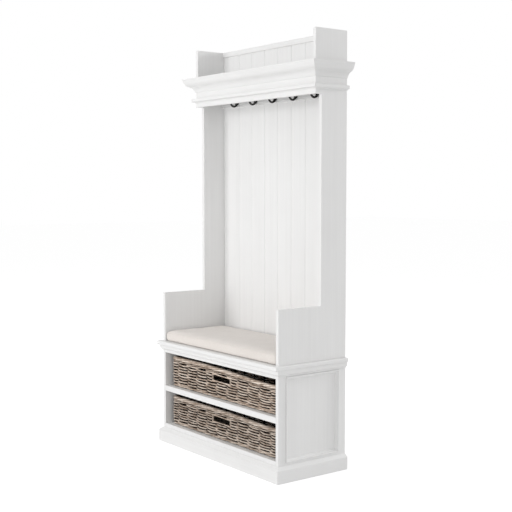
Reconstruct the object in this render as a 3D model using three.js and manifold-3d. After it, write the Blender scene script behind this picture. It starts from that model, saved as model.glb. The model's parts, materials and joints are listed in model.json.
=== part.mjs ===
// Hall tree with hooks: a storage bench with two woven baskets and a seat cushion, a boarded back
// with a row of coat hooks, and a hat shelf behind a frieze with a crown moulding.
//
// Millimetres. +Z is up, +X is to the right of a person facing the piece, and the front faces -Y.
// The origin is the centre of the footprint, on the floor. Depths are counted from the wall plane
// towards the front, so a depth d is at y = OVERALL_DEPTH / 2 - d.
import * as THREE from "three";
import { mergeVertices } from "three/addons/utils/BufferGeometryUtils.js";
import Module from "manifold-3d";

const wasm = await Module();
wasm.setup();

// ---------------------------------------------------------------- driving dimensions

const OVERALL_HEIGHT = 1900;
const OVERALL_DEPTH = 400; // wall plane to the front of the seat board
const BODY_WIDTH = 900; // across the outer faces of the side boards
const BOARD = 18; // thickness of the main boards
const MITRE_GAP = 0.15; // each mitred end stands back this far from the mitre plane
const RESTING_GAP = 0.3; // under a loose piece that only rests on its seat

// Plinth
const PLINTH_FACE = 56;
const PLINTH_BEVEL = 15;
const PLINTH_PROJECTION = 17;
const PLINTH_REVEAL = 1; // the bevel stops this far below the bottom board
const PROFILE_LIP = 1.5; // blunt thin edge where a moulding profile dies out

// Bench
const LOWER_BAY_HEIGHT = 160;
const UPPER_BAY_HEIGHT = 162;
const MIDDLE_SHELF = 26;
const FRONT_RAIL_HEIGHT = 38;
const SEAT_OVERHANG_FRONT = 27;
const SEAT_OVERHANG_SIDE = 18;
const SEAT_NOSING_RADIUS = 5;
const SEAT_MOULDING_HEIGHT = 29;
const SEAT_MOULDING_PROJECTION = 12;
const STILE_BACK = 38;
const STILE_FRONT = 40;
const RAIL_REVEAL_TOP = 2; // bare rail between the bead and the seat moulding
const RAIL_REVEAL_BOTTOM = 10; // bare rail between the bead and the plinth
const BOTTOM_RAIL_CLEARANCE = 18; // under the bottom rail, behind the plinth
const SIDE_PANEL = 8;
const SIDE_PANEL_REBATE = 6;
const BEAD_WIDTH = 17;
const BEAD_PROUD = 2;
const BACK_REBATE = 8; // the backs lie this far in from the wall plane
const BENCH_BACK = 6;

// Upper part
const ARM_HEIGHT = 234;
const UPRIGHT_DEPTH = 143;
const GALLERY_DEPTH = 177;
const GALLERY_HEIGHT = 138; // sides above the crown
const CROWN_HEIGHT = 65;
const CROWN_PROJECTION = 50;
const FRIEZE_FACE = 30; // bare face between the crown and the frieze bead
const FRIEZE_BEAD_HEIGHT = 22;
const FRIEZE_BEAD_PROJECTION = 17;
const FRIEZE_LIP = 20; // bare face under the frieze bead
const HAT_SHELF_DROP = 17; // top of the hat shelf below the top of the crown
const PLANK_WIDTH = 100;
const PLANK_THICKNESS = 15;
const PLANK_COUNT = 8; // the outer two take what width is left
const PLANK_CHAMFER = 2.5;
const TONGUE_LENGTH = 5;
const TONGUE_THICKNESS = 5;
const TONGUE_GAP = 0.3;
const CAP_RAIL_HEIGHT = 24;
const CAP_RAIL_PROUD = 6;
const BATTEN_HEIGHT = 60;

// Hooks
const HOOK_COUNT = 5;
const HOOK_PITCH = 150;
const HOOK_RAIL_HEIGHT = 80;
const HOOK_RAIL_THICKNESS = 12;
const HOOK_RAIL_RAISE = 1; // underside of the rail above the underside of the frieze
const HOOK_PLATE_WIDTH = 22;
const HOOK_PLATE_HEIGHT = 66;
const HOOK_PLATE_THICKNESS = 4;
const HOOK_ROD = 8;
const HOOK_BALL = 15;
const HOOK_REACH = 43; // plate face to the centre of the lower ball
const HAT_ARM_REACH = 66; // plate face to the centre of the upper ball
const HOOK_DROP = 38; // plate centre to the bottom of the bend's centre line

// Cushion
const CUSHION_THICKNESS = 46;
const CUSHION_CLEARANCE = 2;
const CUSHION_ROUNDING = 8;

// Baskets
const BASKET_SIDE_GAP = 33;
const BASKET_HEAD_GAP = 16;
const BASKET_SETBACK = 28; // front of the bench to the front of the basket
const BASKET_BACK_GAP = 14;
const BASKET_WALL = 14;
const BASKET_FLOOR = 8;
const BASKET_CORNER = 24;
const BORDER_HEIGHT = 26;
const BORDER_WIDTH = 20;
const BORDER_PROUD = 2;
const HANDLE_WIDTH = 122;
const HANDLE_HEIGHT = 20;
const HANDLE_DROP = 17; // top of the handle hole below the border

// ---------------------------------------------------------------- derived levels and planes

const BENCH_DEPTH = OVERALL_DEPTH - SEAT_OVERHANG_FRONT;
const OUTER_X = BODY_WIDTH / 2;
const INNER_X = OUTER_X - BOARD;
const INNER_WIDTH = 2 * INNER_X;
const PLINTH_HEIGHT = PLINTH_FACE + PLINTH_BEVEL;
const LOWER_BAY_Z = PLINTH_HEIGHT + BOARD;
const MIDDLE_SHELF_Z = LOWER_BAY_Z + LOWER_BAY_HEIGHT;
const UPPER_BAY_Z = MIDDLE_SHELF_Z + MIDDLE_SHELF;
const FRONT_RAIL_Z = UPPER_BAY_Z + UPPER_BAY_HEIGHT;
const SEAT_BOARD_Z = FRONT_RAIL_Z + FRONT_RAIL_HEIGHT;
const SEAT_Z = SEAT_BOARD_Z + BOARD;
const ARM_Z = SEAT_Z + ARM_HEIGHT;
const CROWN_TOP_Z = OVERALL_HEIGHT - GALLERY_HEIGHT;
const CROWN_Z = CROWN_TOP_Z - CROWN_HEIGHT;
const FRIEZE_BEAD_Z = CROWN_Z - FRIEZE_FACE - FRIEZE_BEAD_HEIGHT;
const FRIEZE_Z = FRIEZE_BEAD_Z - FRIEZE_LIP;
const HAT_SHELF_Z = CROWN_TOP_Z - HAT_SHELF_DROP - BOARD;
const CAP_RAIL_Z = OVERALL_HEIGHT - CAP_RAIL_HEIGHT;
const TOP_RAIL = SEAT_MOULDING_HEIGHT + RAIL_REVEAL_TOP;
const BOTTOM_RAIL_TOP = PLINTH_HEIGHT + RAIL_REVEAL_BOTTOM;
const BENCH_BACK_FACE = BACK_REBATE + BENCH_BACK;
const PLANK_FACE = BACK_REBATE + PLANK_THICKNESS;
const HOOK_RAIL_Z = FRIEZE_Z + HOOK_RAIL_RAISE;
const HOOK_RAIL_FACE = PLANK_FACE + HOOK_RAIL_THICKNESS;
const WALL_Y = OVERALL_DEPTH / 2;

// ---------------------------------------------------------------- materials

// Each mesh gets a material of its own, so that a piece can be recoloured by itself.
const paint = () => new THREE.MeshStandardMaterial({ color: 0xeeeeec, roughness: 0.42, metalness: 0 });
const iron = () => new THREE.MeshStandardMaterial({ color: 0x1b1a19, roughness: 0.45, metalness: 0.6 });
const rattan = () => new THREE.MeshStandardMaterial({ color: 0x9c8876, roughness: 0.75, metalness: 0 });
const linen = () => new THREE.MeshStandardMaterial({ color: 0xe6dfd6, roughness: 0.9, metalness: 0 });

// ---------------------------------------------------------------- shared shapes

const hallTree = new THREE.Group();

function part(parent, name, geometry, material) {
  const mesh = new THREE.Mesh(geometry, material);
  mesh.name = name;
  parent.add(mesh);
  return mesh;
}

// A board between two x, two depths and two heights.
function board(parent, name, [x0, x1], [d0, d1], [z0, z1], material = paint()) {
  const mesh = part(parent, name, new THREE.BoxGeometry(x1 - x0, d1 - d0, z1 - z0), material);
  mesh.position.set((x0 + x1) / 2, WALL_Y - (d0 + d1) / 2, (z0 + z1) / 2);
  return mesh;
}

function polygon(points) {
  return new THREE.Shape(points.map(([x, y]) => new THREE.Vector2(x, y)));
}

// A straight prism: the outline is drawn in (x, y) and runs along +z for the given length.
function prism(shape, length, curveSegments = 6) {
  return new THREE.ExtrudeGeometry(shape, { depth: length, bevelEnabled: false, curveSegments });
}

// Turns a geometry so that its own axes lie along the three given directions.
function turned(geometry, xAxis, yAxis, zAxis) {
  const basis = new THREE.Matrix4().makeBasis(
    new THREE.Vector3(...xAxis),
    new THREE.Vector3(...yAxis),
    new THREE.Vector3(...zAxis),
  );
  return geometry.applyMatrix4(basis);
}

// A length of moulding. The profile is drawn as (projection, height), and each end is square (0) or
// an outside mitre (1), where the length grows by the projection of each point.
function moulding(profile, length, startMitre, endMitre) {
  const geometry = prism(profile, 1);
  const position = geometry.getAttribute("position");
  for (let i = 0; i < position.count; i++) {
    const projection = position.getX(i);
    const atEnd = position.getZ(i) > 0.5;
    const mitre = atEnd ? endMitre : startMitre;
    const reach = mitre * (projection - MITRE_GAP);
    position.setZ(i, atEnd ? length + reach : -reach);
  }
  return geometry;
}

// Mouldings round three sides of a body: front, right and left, mitred at the two front corners.
function mouldedSides(parent, name, profile, bodyDepth, z) {
  const front = part(
    parent,
    name + "_front",
    turned(moulding(profile, BODY_WIDTH, 1, 1), [0, -1, 0], [0, 0, 1], [-1, 0, 0]),
    paint(),
  );
  front.position.set(OUTER_X, WALL_Y - bodyDepth, z);
  for (const [label, sign] of [["left", -1], ["right", 1]]) {
    const mirror = new THREE.Group();
    mirror.scale.x = sign;
    parent.add(mirror);
    const side = part(
      mirror,
      name + "_" + label,
      turned(moulding(profile, bodyDepth, 0, 1), [1, 0, 0], [0, 0, 1], [0, -1, 0]),
      paint(),
    );
    side.position.set(OUTER_X, WALL_Y, z);
  }
}

// The points of a closed rectangle with round corners, inset from half sizes (a, b).
function roundedLoop(a, b, radius, inset, steps) {
  const points = [];
  for (const [sx, sy, start] of [[1, -1, -0.5], [1, 1, 0], [-1, 1, 0.5], [-1, -1, 1]]) {
    for (let i = 0; i <= steps; i++) {
      const angle = (start + (0.5 * i) / steps) * Math.PI;
      const r = radius - inset;
      points.push([sx * (a - radius) + r * Math.cos(angle), sy * (b - radius) + r * Math.sin(angle)]);
    }
  }
  return points;
}

// A closed ring: loopAt(inset) gives the plan of the ring, and the profile is (inset, height) going
// from the outer foot up and over to the inner foot.
function ring(profile, loopAt) {
  const loops = profile.map(([inset]) => loopAt(inset));
  const around = loops[0].length;
  const positions = [];
  const vertex = (i, j) => {
    const [x, y] = loops[i % profile.length][j % around];
    return [x, y, profile[i % profile.length][1]];
  };
  for (let i = 0; i < profile.length; i++) {
    for (let j = 0; j < around; j++) {
      const [a, b, c, d] = [vertex(i, j), vertex(i, j + 1), vertex(i + 1, j + 1), vertex(i + 1, j)];
      positions.push(...a, ...b, ...c, ...a, ...c, ...d);
    }
  }
  return new THREE.BufferGeometry().setAttribute(
    "position",
    new THREE.Float32BufferAttribute(positions, 3),
  );
}

// ---------------------------------------------------------------- joins and cuts

function solidFrom(geometry) {
  const bare = geometry.index ? geometry.toNonIndexed() : geometry.clone();
  bare.deleteAttribute("normal");
  bare.deleteAttribute("uv");
  const merged = mergeVertices(bare, 1e-4);
  return new wasm.Manifold(
    new wasm.Mesh({
      numProp: 3,
      vertProperties: merged.getAttribute("position").array,
      triVerts: new Uint32Array(merged.index.array),
    }),
  );
}

function geometryFrom(solid) {
  const mesh = solid.getMesh();
  const geometry = new THREE.BufferGeometry();
  geometry.setAttribute("position", new THREE.BufferAttribute(new Float32Array(mesh.vertProperties), 3));
  geometry.setIndex(new THREE.BufferAttribute(new Uint32Array(mesh.triVerts), 1));
  geometry.computeVertexNormals();
  return geometry;
}

function block([x0, x1], [y0, y1], [z0, z1]) {
  const geometry = new THREE.BoxGeometry(x1 - x0, y1 - y0, z1 - z0);
  return solidFrom(geometry.translate((x0 + x1) / 2, (y0 + y1) / 2, (z0 + z1) / 2));
}

// ---------------------------------------------------------------- moulding profiles

function plinthProfile() {
  return polygon([
    [0, 0],
    [PLINTH_PROJECTION, 0],
    [PLINTH_PROJECTION, PLINTH_FACE],
    [PROFILE_LIP, PLINTH_HEIGHT - PLINTH_REVEAL],
    [0, PLINTH_HEIGHT - PLINTH_REVEAL],
  ]);
}

// A square band over a cove.
function seatMouldingProfile() {
  const shape = new THREE.Shape();
  const bandFoot = 11;
  shape.moveTo(0, 0);
  shape.lineTo(PROFILE_LIP, 0);
  shape.quadraticCurveTo(2.5, bandFoot - 2, SEAT_MOULDING_PROJECTION, bandFoot);
  shape.lineTo(SEAT_MOULDING_PROJECTION, SEAT_MOULDING_HEIGHT);
  shape.lineTo(0, SEAT_MOULDING_HEIGHT);
  return shape;
}

// A small cove under a fillet, a large ovolo over it, and a flat fascia at the top.
function crownProfile() {
  const shape = new THREE.Shape();
  const fillet = [18, 23];
  const ovoloFoot = [fillet[0] + 3, fillet[1] + 2];
  const ovoloHead = [CROWN_PROJECTION - 0.5, CROWN_HEIGHT - 13];
  shape.moveTo(0, 0);
  shape.lineTo(3, 2);
  shape.quadraticCurveTo(8, 16, ...fillet);
  shape.lineTo(ovoloFoot[0], fillet[1]);
  shape.lineTo(...ovoloFoot);
  shape.quadraticCurveTo(CROWN_PROJECTION - 7, ovoloFoot[1] + 5, ...ovoloHead);
  shape.lineTo(CROWN_PROJECTION, ovoloHead[1] + 2);
  shape.lineTo(CROWN_PROJECTION, CROWN_HEIGHT);
  shape.lineTo(0, CROWN_HEIGHT);
  return shape;
}

function friezeBeadProfile() {
  const shape = new THREE.Shape();
  const p = FRIEZE_BEAD_PROJECTION;
  const h = FRIEZE_BEAD_HEIGHT;
  shape.moveTo(0, 0);
  shape.lineTo(2, 0);
  shape.quadraticCurveTo(4, 5, p - 3, 6);
  shape.quadraticCurveTo(p, 6.5, p, 9);
  shape.lineTo(p, h - 4);
  shape.quadraticCurveTo(p, h - 1, p - 4, h);
  shape.lineTo(0, h);
  return shape;
}

// ---------------------------------------------------------------- bench

function plinth(parent) {
  mouldedSides(parent, "plinth", plinthProfile(), BENCH_DEPTH, 0);
  const width = [-INNER_X, INNER_X];
  board(parent, "base_front_rail", width, [BENCH_DEPTH - BOARD, BENCH_DEPTH], [0, PLINTH_HEIGHT]);
  board(parent, "base_back_rail", width, [BENCH_BACK_FACE, BENCH_BACK_FACE + BOARD], [0, PLINTH_HEIGHT]);
}

// One end of the bench: stiles and rails round a panel that drops into a rebate, and a mitred bead.
// It is drawn for the right-hand end, and a mirrored group turns it into the left-hand one.
function benchEnd(parent, label, sign) {
  const end = new THREE.Group();
  end.scale.x = sign;
  parent.add(end);
  const name = (piece) => "bench_" + label + "_" + piece;
  const frontStile = BENCH_DEPTH - STILE_FRONT;
  const topRailZ = SEAT_BOARD_Z - TOP_RAIL;
  const rebate = SIDE_PANEL_REBATE;

  // The stiles stand on the floor. Their section is an L, with the rebate on the inside face.
  const stileSection = (width) =>
    polygon([
      [SIDE_PANEL, 0],
      [BOARD, 0],
      [BOARD, width],
      [0, width],
      [0, rebate],
      [SIDE_PANEL, rebate],
    ]);
  const back = part(
    end,
    name("back_stile"),
    prism(stileSection(STILE_BACK), SEAT_BOARD_Z),
    paint(),
  );
  back.position.set(INNER_X, WALL_Y - STILE_BACK, 0);
  const mirroredSection = polygon([
    [SIDE_PANEL, STILE_FRONT],
    [SIDE_PANEL, STILE_FRONT - rebate],
    [0, STILE_FRONT - rebate],
    [0, 0],
    [BOARD, 0],
    [BOARD, STILE_FRONT],
  ]);
  const front = part(end, name("front_stile"), prism(mirroredSection, SEAT_BOARD_Z), paint());
  front.position.set(INNER_X, WALL_Y - BENCH_DEPTH, 0);

  // The rails run between the stiles, with their section drawn in (x, z).
  const railLength = frontStile - STILE_BACK;
  const rail = (piece, outline, z) => {
    const geometry = turned(prism(polygon(outline), railLength), [1, 0, 0], [0, 0, 1], [0, -1, 0]);
    part(end, name(piece), geometry, paint()).position.set(INNER_X, WALL_Y - STILE_BACK, z);
  };
  rail("top_rail", [
    [SIDE_PANEL, 0],
    [BOARD, 0],
    [BOARD, TOP_RAIL],
    [0, TOP_RAIL],
    [0, rebate],
    [SIDE_PANEL, rebate],
  ], topRailZ);
  const bottomRail = BOTTOM_RAIL_TOP - BOTTOM_RAIL_CLEARANCE;
  rail("bottom_rail", [
    [0, 0],
    [BOARD, 0],
    [BOARD, bottomRail],
    [SIDE_PANEL, bottomRail],
    [SIDE_PANEL, bottomRail - rebate],
    [0, bottomRail - rebate],
  ], BOTTOM_RAIL_CLEARANCE);

  board(
    end,
    name("panel"),
    [INNER_X, INNER_X + SIDE_PANEL],
    [STILE_BACK - rebate, frontStile + rebate],
    [BOTTOM_RAIL_TOP - rebate, topRailZ + rebate],
  );

  // The bead fills the step from the frame down to the panel. Its loop is drawn in (depth, height)
  // and its profile stands along x, from the panel face out past the frame.
  const halfDepth = railLength / 2;
  const halfHeight = (topRailZ - BOTTOM_RAIL_TOP) / 2;
  const step = BOARD - SIDE_PANEL;
  const loopAt = (inset) => [
    [-halfDepth + inset, -halfHeight + inset],
    [halfDepth - inset, -halfHeight + inset],
    [halfDepth - inset, halfHeight - inset],
    [-halfDepth + inset, halfHeight - inset],
  ];
  const profile = [
    [0, 0],
    [0, step + BEAD_PROUD - 1],
    [1, step + BEAD_PROUD],
    [4, step + BEAD_PROUD],
    [5.5, step + BEAD_PROUD - 1.5],
    [6, step - 1],
    [9, step - 3.5],
    [13, 3],
    [BEAD_WIDTH, 1.5],
    [BEAD_WIDTH, 0],
  ];
  const bead = part(
    end,
    name("bead"),
    turned(ring(profile, loopAt), [0, 1, 0], [0, 0, 1], [1, 0, 0]),
    paint(),
  );
  bead.position.set(
    INNER_X + SIDE_PANEL,
    WALL_Y - (STILE_BACK + frontStile) / 2,
    (BOTTOM_RAIL_TOP + topRailZ) / 2,
  );
}

// The seat board overhangs at the front and both ends, with a rounded nosing there, and is cut
// square at the wall plane.
function seatBoard(parent) {
  const round = SEAT_NOSING_RADIUS;
  const halfWidth = OUTER_X + SEAT_OVERHANG_SIDE;
  const behind = 2 * round;
  const plan = polygon([
    [-halfWidth + round, -OVERALL_DEPTH + round],
    [halfWidth - round, -OVERALL_DEPTH + round],
    [halfWidth - round, behind],
    [-halfWidth + round, behind],
  ]);
  const rounded = new THREE.ExtrudeGeometry(plan, {
    depth: BOARD - 2 * round,
    bevelThickness: round,
    bevelSize: round,
    bevelSegments: 3,
  }).translate(0, 0, round);
  const keep = block([-halfWidth, halfWidth], [-OVERALL_DEPTH, 0], [0, BOARD]);
  const mesh = part(parent, "seat_board", geometryFrom(solidFrom(rounded).intersect(keep)), paint());
  mesh.position.set(0, WALL_Y, SEAT_BOARD_Z);
}

function bench(parent) {
  const width = [-INNER_X, INNER_X];
  const inside = [BENCH_BACK_FACE, BENCH_DEPTH];
  plinth(parent);
  benchEnd(parent, "left", -1);
  benchEnd(parent, "right", 1);
  board(parent, "bottom_board", width, inside, [PLINTH_HEIGHT, LOWER_BAY_Z]);
  board(parent, "middle_shelf", width, inside, [MIDDLE_SHELF_Z, UPPER_BAY_Z]);
  board(parent, "bench_back_panel", width, [BACK_REBATE, BENCH_BACK_FACE], [0, SEAT_BOARD_Z]);
  board(parent, "seat_front_rail", width, [BENCH_DEPTH - BOARD, BENCH_DEPTH], [FRONT_RAIL_Z, SEAT_BOARD_Z]);
  seatBoard(parent);
  mouldedSides(
    parent,
    "seat_moulding",
    seatMouldingProfile(),
    BENCH_DEPTH,
    SEAT_BOARD_Z - SEAT_MOULDING_HEIGHT,
  );
}

// ---------------------------------------------------------------- upper part

// One board makes the arm, the upright and the gallery side. Its outline is drawn in (depth, height).
function upperSide(parent, label, sign) {
  const outline = polygon([
    [0, SEAT_Z],
    [BENCH_DEPTH, SEAT_Z],
    [BENCH_DEPTH, ARM_Z],
    [UPRIGHT_DEPTH, ARM_Z],
    [UPRIGHT_DEPTH, FRIEZE_Z],
    [GALLERY_DEPTH, FRIEZE_Z],
    [GALLERY_DEPTH, OVERALL_HEIGHT],
    [0, OVERALL_HEIGHT],
  ]);
  const mirror = new THREE.Group();
  mirror.scale.x = sign;
  parent.add(mirror);
  const geometry = turned(prism(outline, BOARD), [0, -1, 0], [0, 0, 1], [-1, 0, 0]);
  part(mirror, "upper_side_" + label, geometry, paint()).position.set(OUTER_X, WALL_Y, 0);
}

// Tongued and grooved boards, with a chamfer on each front edge. The section is drawn in
// (x, depth), from the board's left edge, with the tongue on its right.
function plankSection(width, hasGroove, hasTongue) {
  const t = PLANK_THICKNESS;
  const c = PLANK_CHAMFER;
  const [low, high] = [(t - TONGUE_THICKNESS) / 2, (t + TONGUE_THICKNESS) / 2];
  const points = [[0, 0]];
  if (hasGroove) {
    points.push([0, low - TONGUE_GAP]);
    points.push([TONGUE_LENGTH + TONGUE_GAP, low - TONGUE_GAP]);
    points.push([TONGUE_LENGTH + TONGUE_GAP, high + TONGUE_GAP]);
    points.push([0, high + TONGUE_GAP]);
  }
  points.push([0, t - c], [c, t], [width - c, t], [width, t - c]);
  if (hasTongue) {
    points.push([width, high], [width + TONGUE_LENGTH, high]);
    points.push([width + TONGUE_LENGTH, low], [width, low]);
  }
  points.push([width, 0]);
  return polygon(points.map(([x, d]) => [x, -d]));
}

function boardedBack(parent) {
  const edgeWidth = (INNER_WIDTH - (PLANK_COUNT - 2) * PLANK_WIDTH) / 2;
  let x = -INNER_X;
  for (let i = 0; i < PLANK_COUNT; i++) {
    const atEdge = i === 0 || i === PLANK_COUNT - 1;
    const width = atEdge ? edgeWidth : PLANK_WIDTH;
    const section = plankSection(width, i > 0, i < PLANK_COUNT - 1);
    const plank = part(parent, "back_plank_" + (i + 1), prism(section, CAP_RAIL_Z - SEAT_Z), paint());
    plank.position.set(x, WALL_Y - BACK_REBATE, SEAT_Z);
    x += width;
  }
  const width = [-INNER_X, INNER_X];
  board(parent, "back_cap_rail", width, [0, PLANK_FACE + CAP_RAIL_PROUD], [CAP_RAIL_Z, OVERALL_HEIGHT]);
  const middle = (SEAT_Z + CAP_RAIL_Z - BATTEN_HEIGHT) / 2;
  const levels = { lower: SEAT_Z, middle, upper: CAP_RAIL_Z - BATTEN_HEIGHT };
  for (const [label, z] of Object.entries(levels)) {
    board(parent, "back_batten_" + label, width, [0, BACK_REBATE], [z, z + BATTEN_HEIGHT]);
  }
}

function upperPart(parent) {
  const width = [-INNER_X, INNER_X];
  upperSide(parent, "left", -1);
  upperSide(parent, "right", 1);
  boardedBack(parent);
  const friezeBack = GALLERY_DEPTH - BOARD;
  board(parent, "frieze_board", width, [friezeBack, GALLERY_DEPTH], [FRIEZE_Z, CROWN_TOP_Z]);
  board(parent, "hat_shelf", width, [PLANK_FACE, friezeBack], [HAT_SHELF_Z, HAT_SHELF_Z + BOARD]);
  const railTop = HOOK_RAIL_Z + HOOK_RAIL_HEIGHT;
  board(parent, "hook_rail", width, [PLANK_FACE, HOOK_RAIL_FACE], [HOOK_RAIL_Z, railTop]);
  mouldedSides(parent, "crown", crownProfile(), GALLERY_DEPTH, CROWN_Z);
  mouldedSides(parent, "frieze_bead", friezeBeadProfile(), GALLERY_DEPTH, FRIEZE_BEAD_Z);
}

// ---------------------------------------------------------------- hooks

// A round rod along a curve in the (depth, height) plane of the hook.
function rod(points) {
  const curve = new THREE.CatmullRomCurve3(points.map(([d, z]) => new THREE.Vector3(0, -d, z)));
  const section = new THREE.Shape().absarc(0, 0, HOOK_ROD / 2, 0, 2 * Math.PI);
  const geometry = new THREE.ExtrudeGeometry(section, {
    steps: 14,
    extrudePath: curve,
    bevelEnabled: false,
    curveSegments: 4,
  });
  return solidFrom(geometry);
}

function ball(d, z) {
  return solidFrom(new THREE.SphereGeometry(HOOK_BALL / 2, 12, 8).translate(0, -d, z));
}

// One casting: a plate with round ends, a coat hook below and a longer hat arm above. Its origin is
// on the rail's face at the middle of the plate.
function hookGeometry() {
  const half = HOOK_PLATE_WIDTH / 2;
  const straight = HOOK_PLATE_HEIGHT / 2 - half;
  const outline = new THREE.Shape()
    .absarc(0, straight, half, 0, Math.PI)
    .absarc(0, -straight, half, Math.PI, 2 * Math.PI);
  const plate = turned(prism(outline, HOOK_PLATE_THICKNESS, 8), [1, 0, 0], [0, 0, 1], [0, -1, 0]);
  const face = HOOK_PLATE_THICKNESS;
  const tip = face + HOOK_REACH;
  const coatRod = rod([
    [face + 0.5, -HOOK_DROP + 18],
    [face + 2, -HOOK_DROP + 10],
    [face + 7, -HOOK_DROP + 3],
    [face + 16, -HOOK_DROP],
    [face + 26, -HOOK_DROP + 4],
    [face + 35, -HOOK_DROP + 14],
    [tip, -HOOK_DROP + 30],
  ]);
  const hatTip = face + HAT_ARM_REACH;
  const hatRod = rod([
    [face - 1, 12],
    [face + 22, 8],
    [face + 46, 14],
    [hatTip, 30],
  ]);
  return geometryFrom(
    solidFrom(plate)
      .add(coatRod)
      .add(ball(tip, -HOOK_DROP + 32))
      .add(hatRod)
      .add(ball(hatTip, 32)),
  );
}

function hooks(parent) {
  const z = HOOK_RAIL_Z + HOOK_RAIL_HEIGHT / 2;
  for (let i = 0; i < HOOK_COUNT; i++) {
    const hook = part(parent, "coat_hook_" + (i + 1), hookGeometry(), iron());
    hook.position.set((i - (HOOK_COUNT - 1) / 2) * HOOK_PITCH, WALL_Y - HOOK_RAIL_FACE, z);
  }
}

// ---------------------------------------------------------------- cushion

function cushion(parent) {
  const round = CUSHION_ROUNDING;
  const halfWidth = INNER_X - CUSHION_CLEARANCE;
  const depth = BENCH_DEPTH - PLANK_FACE - 2 * CUSHION_CLEARANCE;
  const plan = polygon(roundedLoop(halfWidth - round, depth / 2 - round, 14, 0, 3));
  const geometry = new THREE.ExtrudeGeometry(plan, {
    depth: CUSHION_THICKNESS - 2 * round,
    bevelThickness: round,
    bevelSize: round,
    bevelSegments: 3,
  }).translate(0, 0, round);
  const mesh = part(parent, "seat_cushion", geometry, linen());
  mesh.position.set(0, WALL_Y - PLANK_FACE - CUSHION_CLEARANCE - depth / 2, SEAT_Z + RESTING_GAP);
}

// ---------------------------------------------------------------- baskets

function basket(parent, label, bayZ, bayHeight) {
  const group = new THREE.Group();
  parent.add(group);
  const height = bayHeight - BASKET_HEAD_GAP;
  const bodyHeight = height - BORDER_HEIGHT;
  const halfWidth = INNER_X - BASKET_SIDE_GAP;
  const front = BENCH_DEPTH - BASKET_SETBACK;
  const back = BENCH_BACK_FACE + BASKET_BACK_GAP;
  const halfDepth = (front - back) / 2;
  group.position.set(0, WALL_Y - (front + back) / 2, bayZ + RESTING_GAP);

  // The woven tub, with its handle hole in the front wall.
  const planAt = (inset) => polygon(roundedLoop(halfWidth, halfDepth, BASKET_CORNER, inset, 4));
  const outside = solidFrom(prism(planAt(BORDER_PROUD), bodyHeight));
  const innerPlan = planAt(BORDER_PROUD + BASKET_WALL);
  const inside = solidFrom(prism(innerPlan, bodyHeight).translate(0, 0, BASKET_FLOOR));
  const handleTop = bodyHeight - HANDLE_DROP;
  const handle = block(
    [-HANDLE_WIDTH / 2, HANDLE_WIDTH / 2],
    [-halfDepth - 1, -halfDepth + BORDER_PROUD + BASKET_WALL + 1],
    [handleTop - HANDLE_HEIGHT, handleTop],
  );
  const tub = outside.subtract(inside).subtract(handle);
  part(group, label + "_basket_body", geometryFrom(tub), rattan());

  // The plaited border on top of the walls.
  const w = BORDER_WIDTH;
  const h = BORDER_HEIGHT;
  const crown = w / 4;
  const profile = [
    [BORDER_PROUD, 0],
    [0, crown],
    [0, h - crown],
    [crown, h],
    [w - crown, h],
    [w, h - crown],
    [w, crown],
    [w - BORDER_PROUD, 0],
  ];
  const loopAt = (inset) => roundedLoop(halfWidth, halfDepth, BASKET_CORNER, inset, 4);
  const border = part(group, label + "_basket_border", ring(profile, loopAt), rattan());
  border.position.z = bodyHeight;
}

// ---------------------------------------------------------------- assembly

bench(hallTree);
upperPart(hallTree);
hooks(hallTree);
cushion(hallTree);
basket(hallTree, "lower", LOWER_BAY_Z, LOWER_BAY_HEIGHT);
basket(hallTree, "upper", UPPER_BAY_Z, UPPER_BAY_HEIGHT);

export default hallTree;
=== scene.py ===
"""Hall tree with hooks: painted joinery, iron hooks, a linen cushion and two rattan baskets.

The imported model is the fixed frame. Sizes and places are read from it or worked out from it, in
metres, with +Z up, +X to the right and the front facing -Y. Each sub-assembly is a class that
builds its pieces, dresses them in a finish and hangs them on the body that they move with.
"""

import json
import logging
import math
from dataclasses import dataclass, field
from enum import Enum
from functools import reduce
from typing import Any, Callable, Iterable, Sequence

import bmesh
import bpy
import numpy as np
from mathutils import Matrix, Vector
from mathutils.bvhtree import BVHTree

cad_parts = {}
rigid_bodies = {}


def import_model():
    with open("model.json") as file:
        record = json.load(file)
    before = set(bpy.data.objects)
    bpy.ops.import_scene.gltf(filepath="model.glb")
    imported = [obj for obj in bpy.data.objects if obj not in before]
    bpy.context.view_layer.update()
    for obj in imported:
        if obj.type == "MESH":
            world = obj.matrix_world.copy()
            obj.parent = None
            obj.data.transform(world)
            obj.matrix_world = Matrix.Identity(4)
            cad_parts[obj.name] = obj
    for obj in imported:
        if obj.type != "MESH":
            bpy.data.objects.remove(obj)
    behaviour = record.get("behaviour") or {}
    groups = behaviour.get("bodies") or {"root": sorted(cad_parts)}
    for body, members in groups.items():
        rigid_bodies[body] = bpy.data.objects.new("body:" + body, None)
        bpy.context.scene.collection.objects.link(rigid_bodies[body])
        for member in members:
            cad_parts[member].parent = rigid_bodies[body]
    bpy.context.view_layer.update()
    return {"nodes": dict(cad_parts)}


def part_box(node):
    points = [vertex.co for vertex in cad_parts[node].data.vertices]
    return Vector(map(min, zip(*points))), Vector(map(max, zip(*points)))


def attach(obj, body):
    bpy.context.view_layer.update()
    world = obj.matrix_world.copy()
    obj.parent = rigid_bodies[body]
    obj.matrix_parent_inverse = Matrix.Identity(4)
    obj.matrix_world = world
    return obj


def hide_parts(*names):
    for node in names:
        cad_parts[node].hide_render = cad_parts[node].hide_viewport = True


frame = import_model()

CARCASS = "carcass"
MM = 0.001

Point = tuple[float, float, float]
Plan = tuple[float, float]
Colour = tuple[float, float, float]
Socket = bpy.types.NodeSocket
log = logging.getLogger("hall_tree")


# ---------------------------------------------------------------- node building


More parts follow.
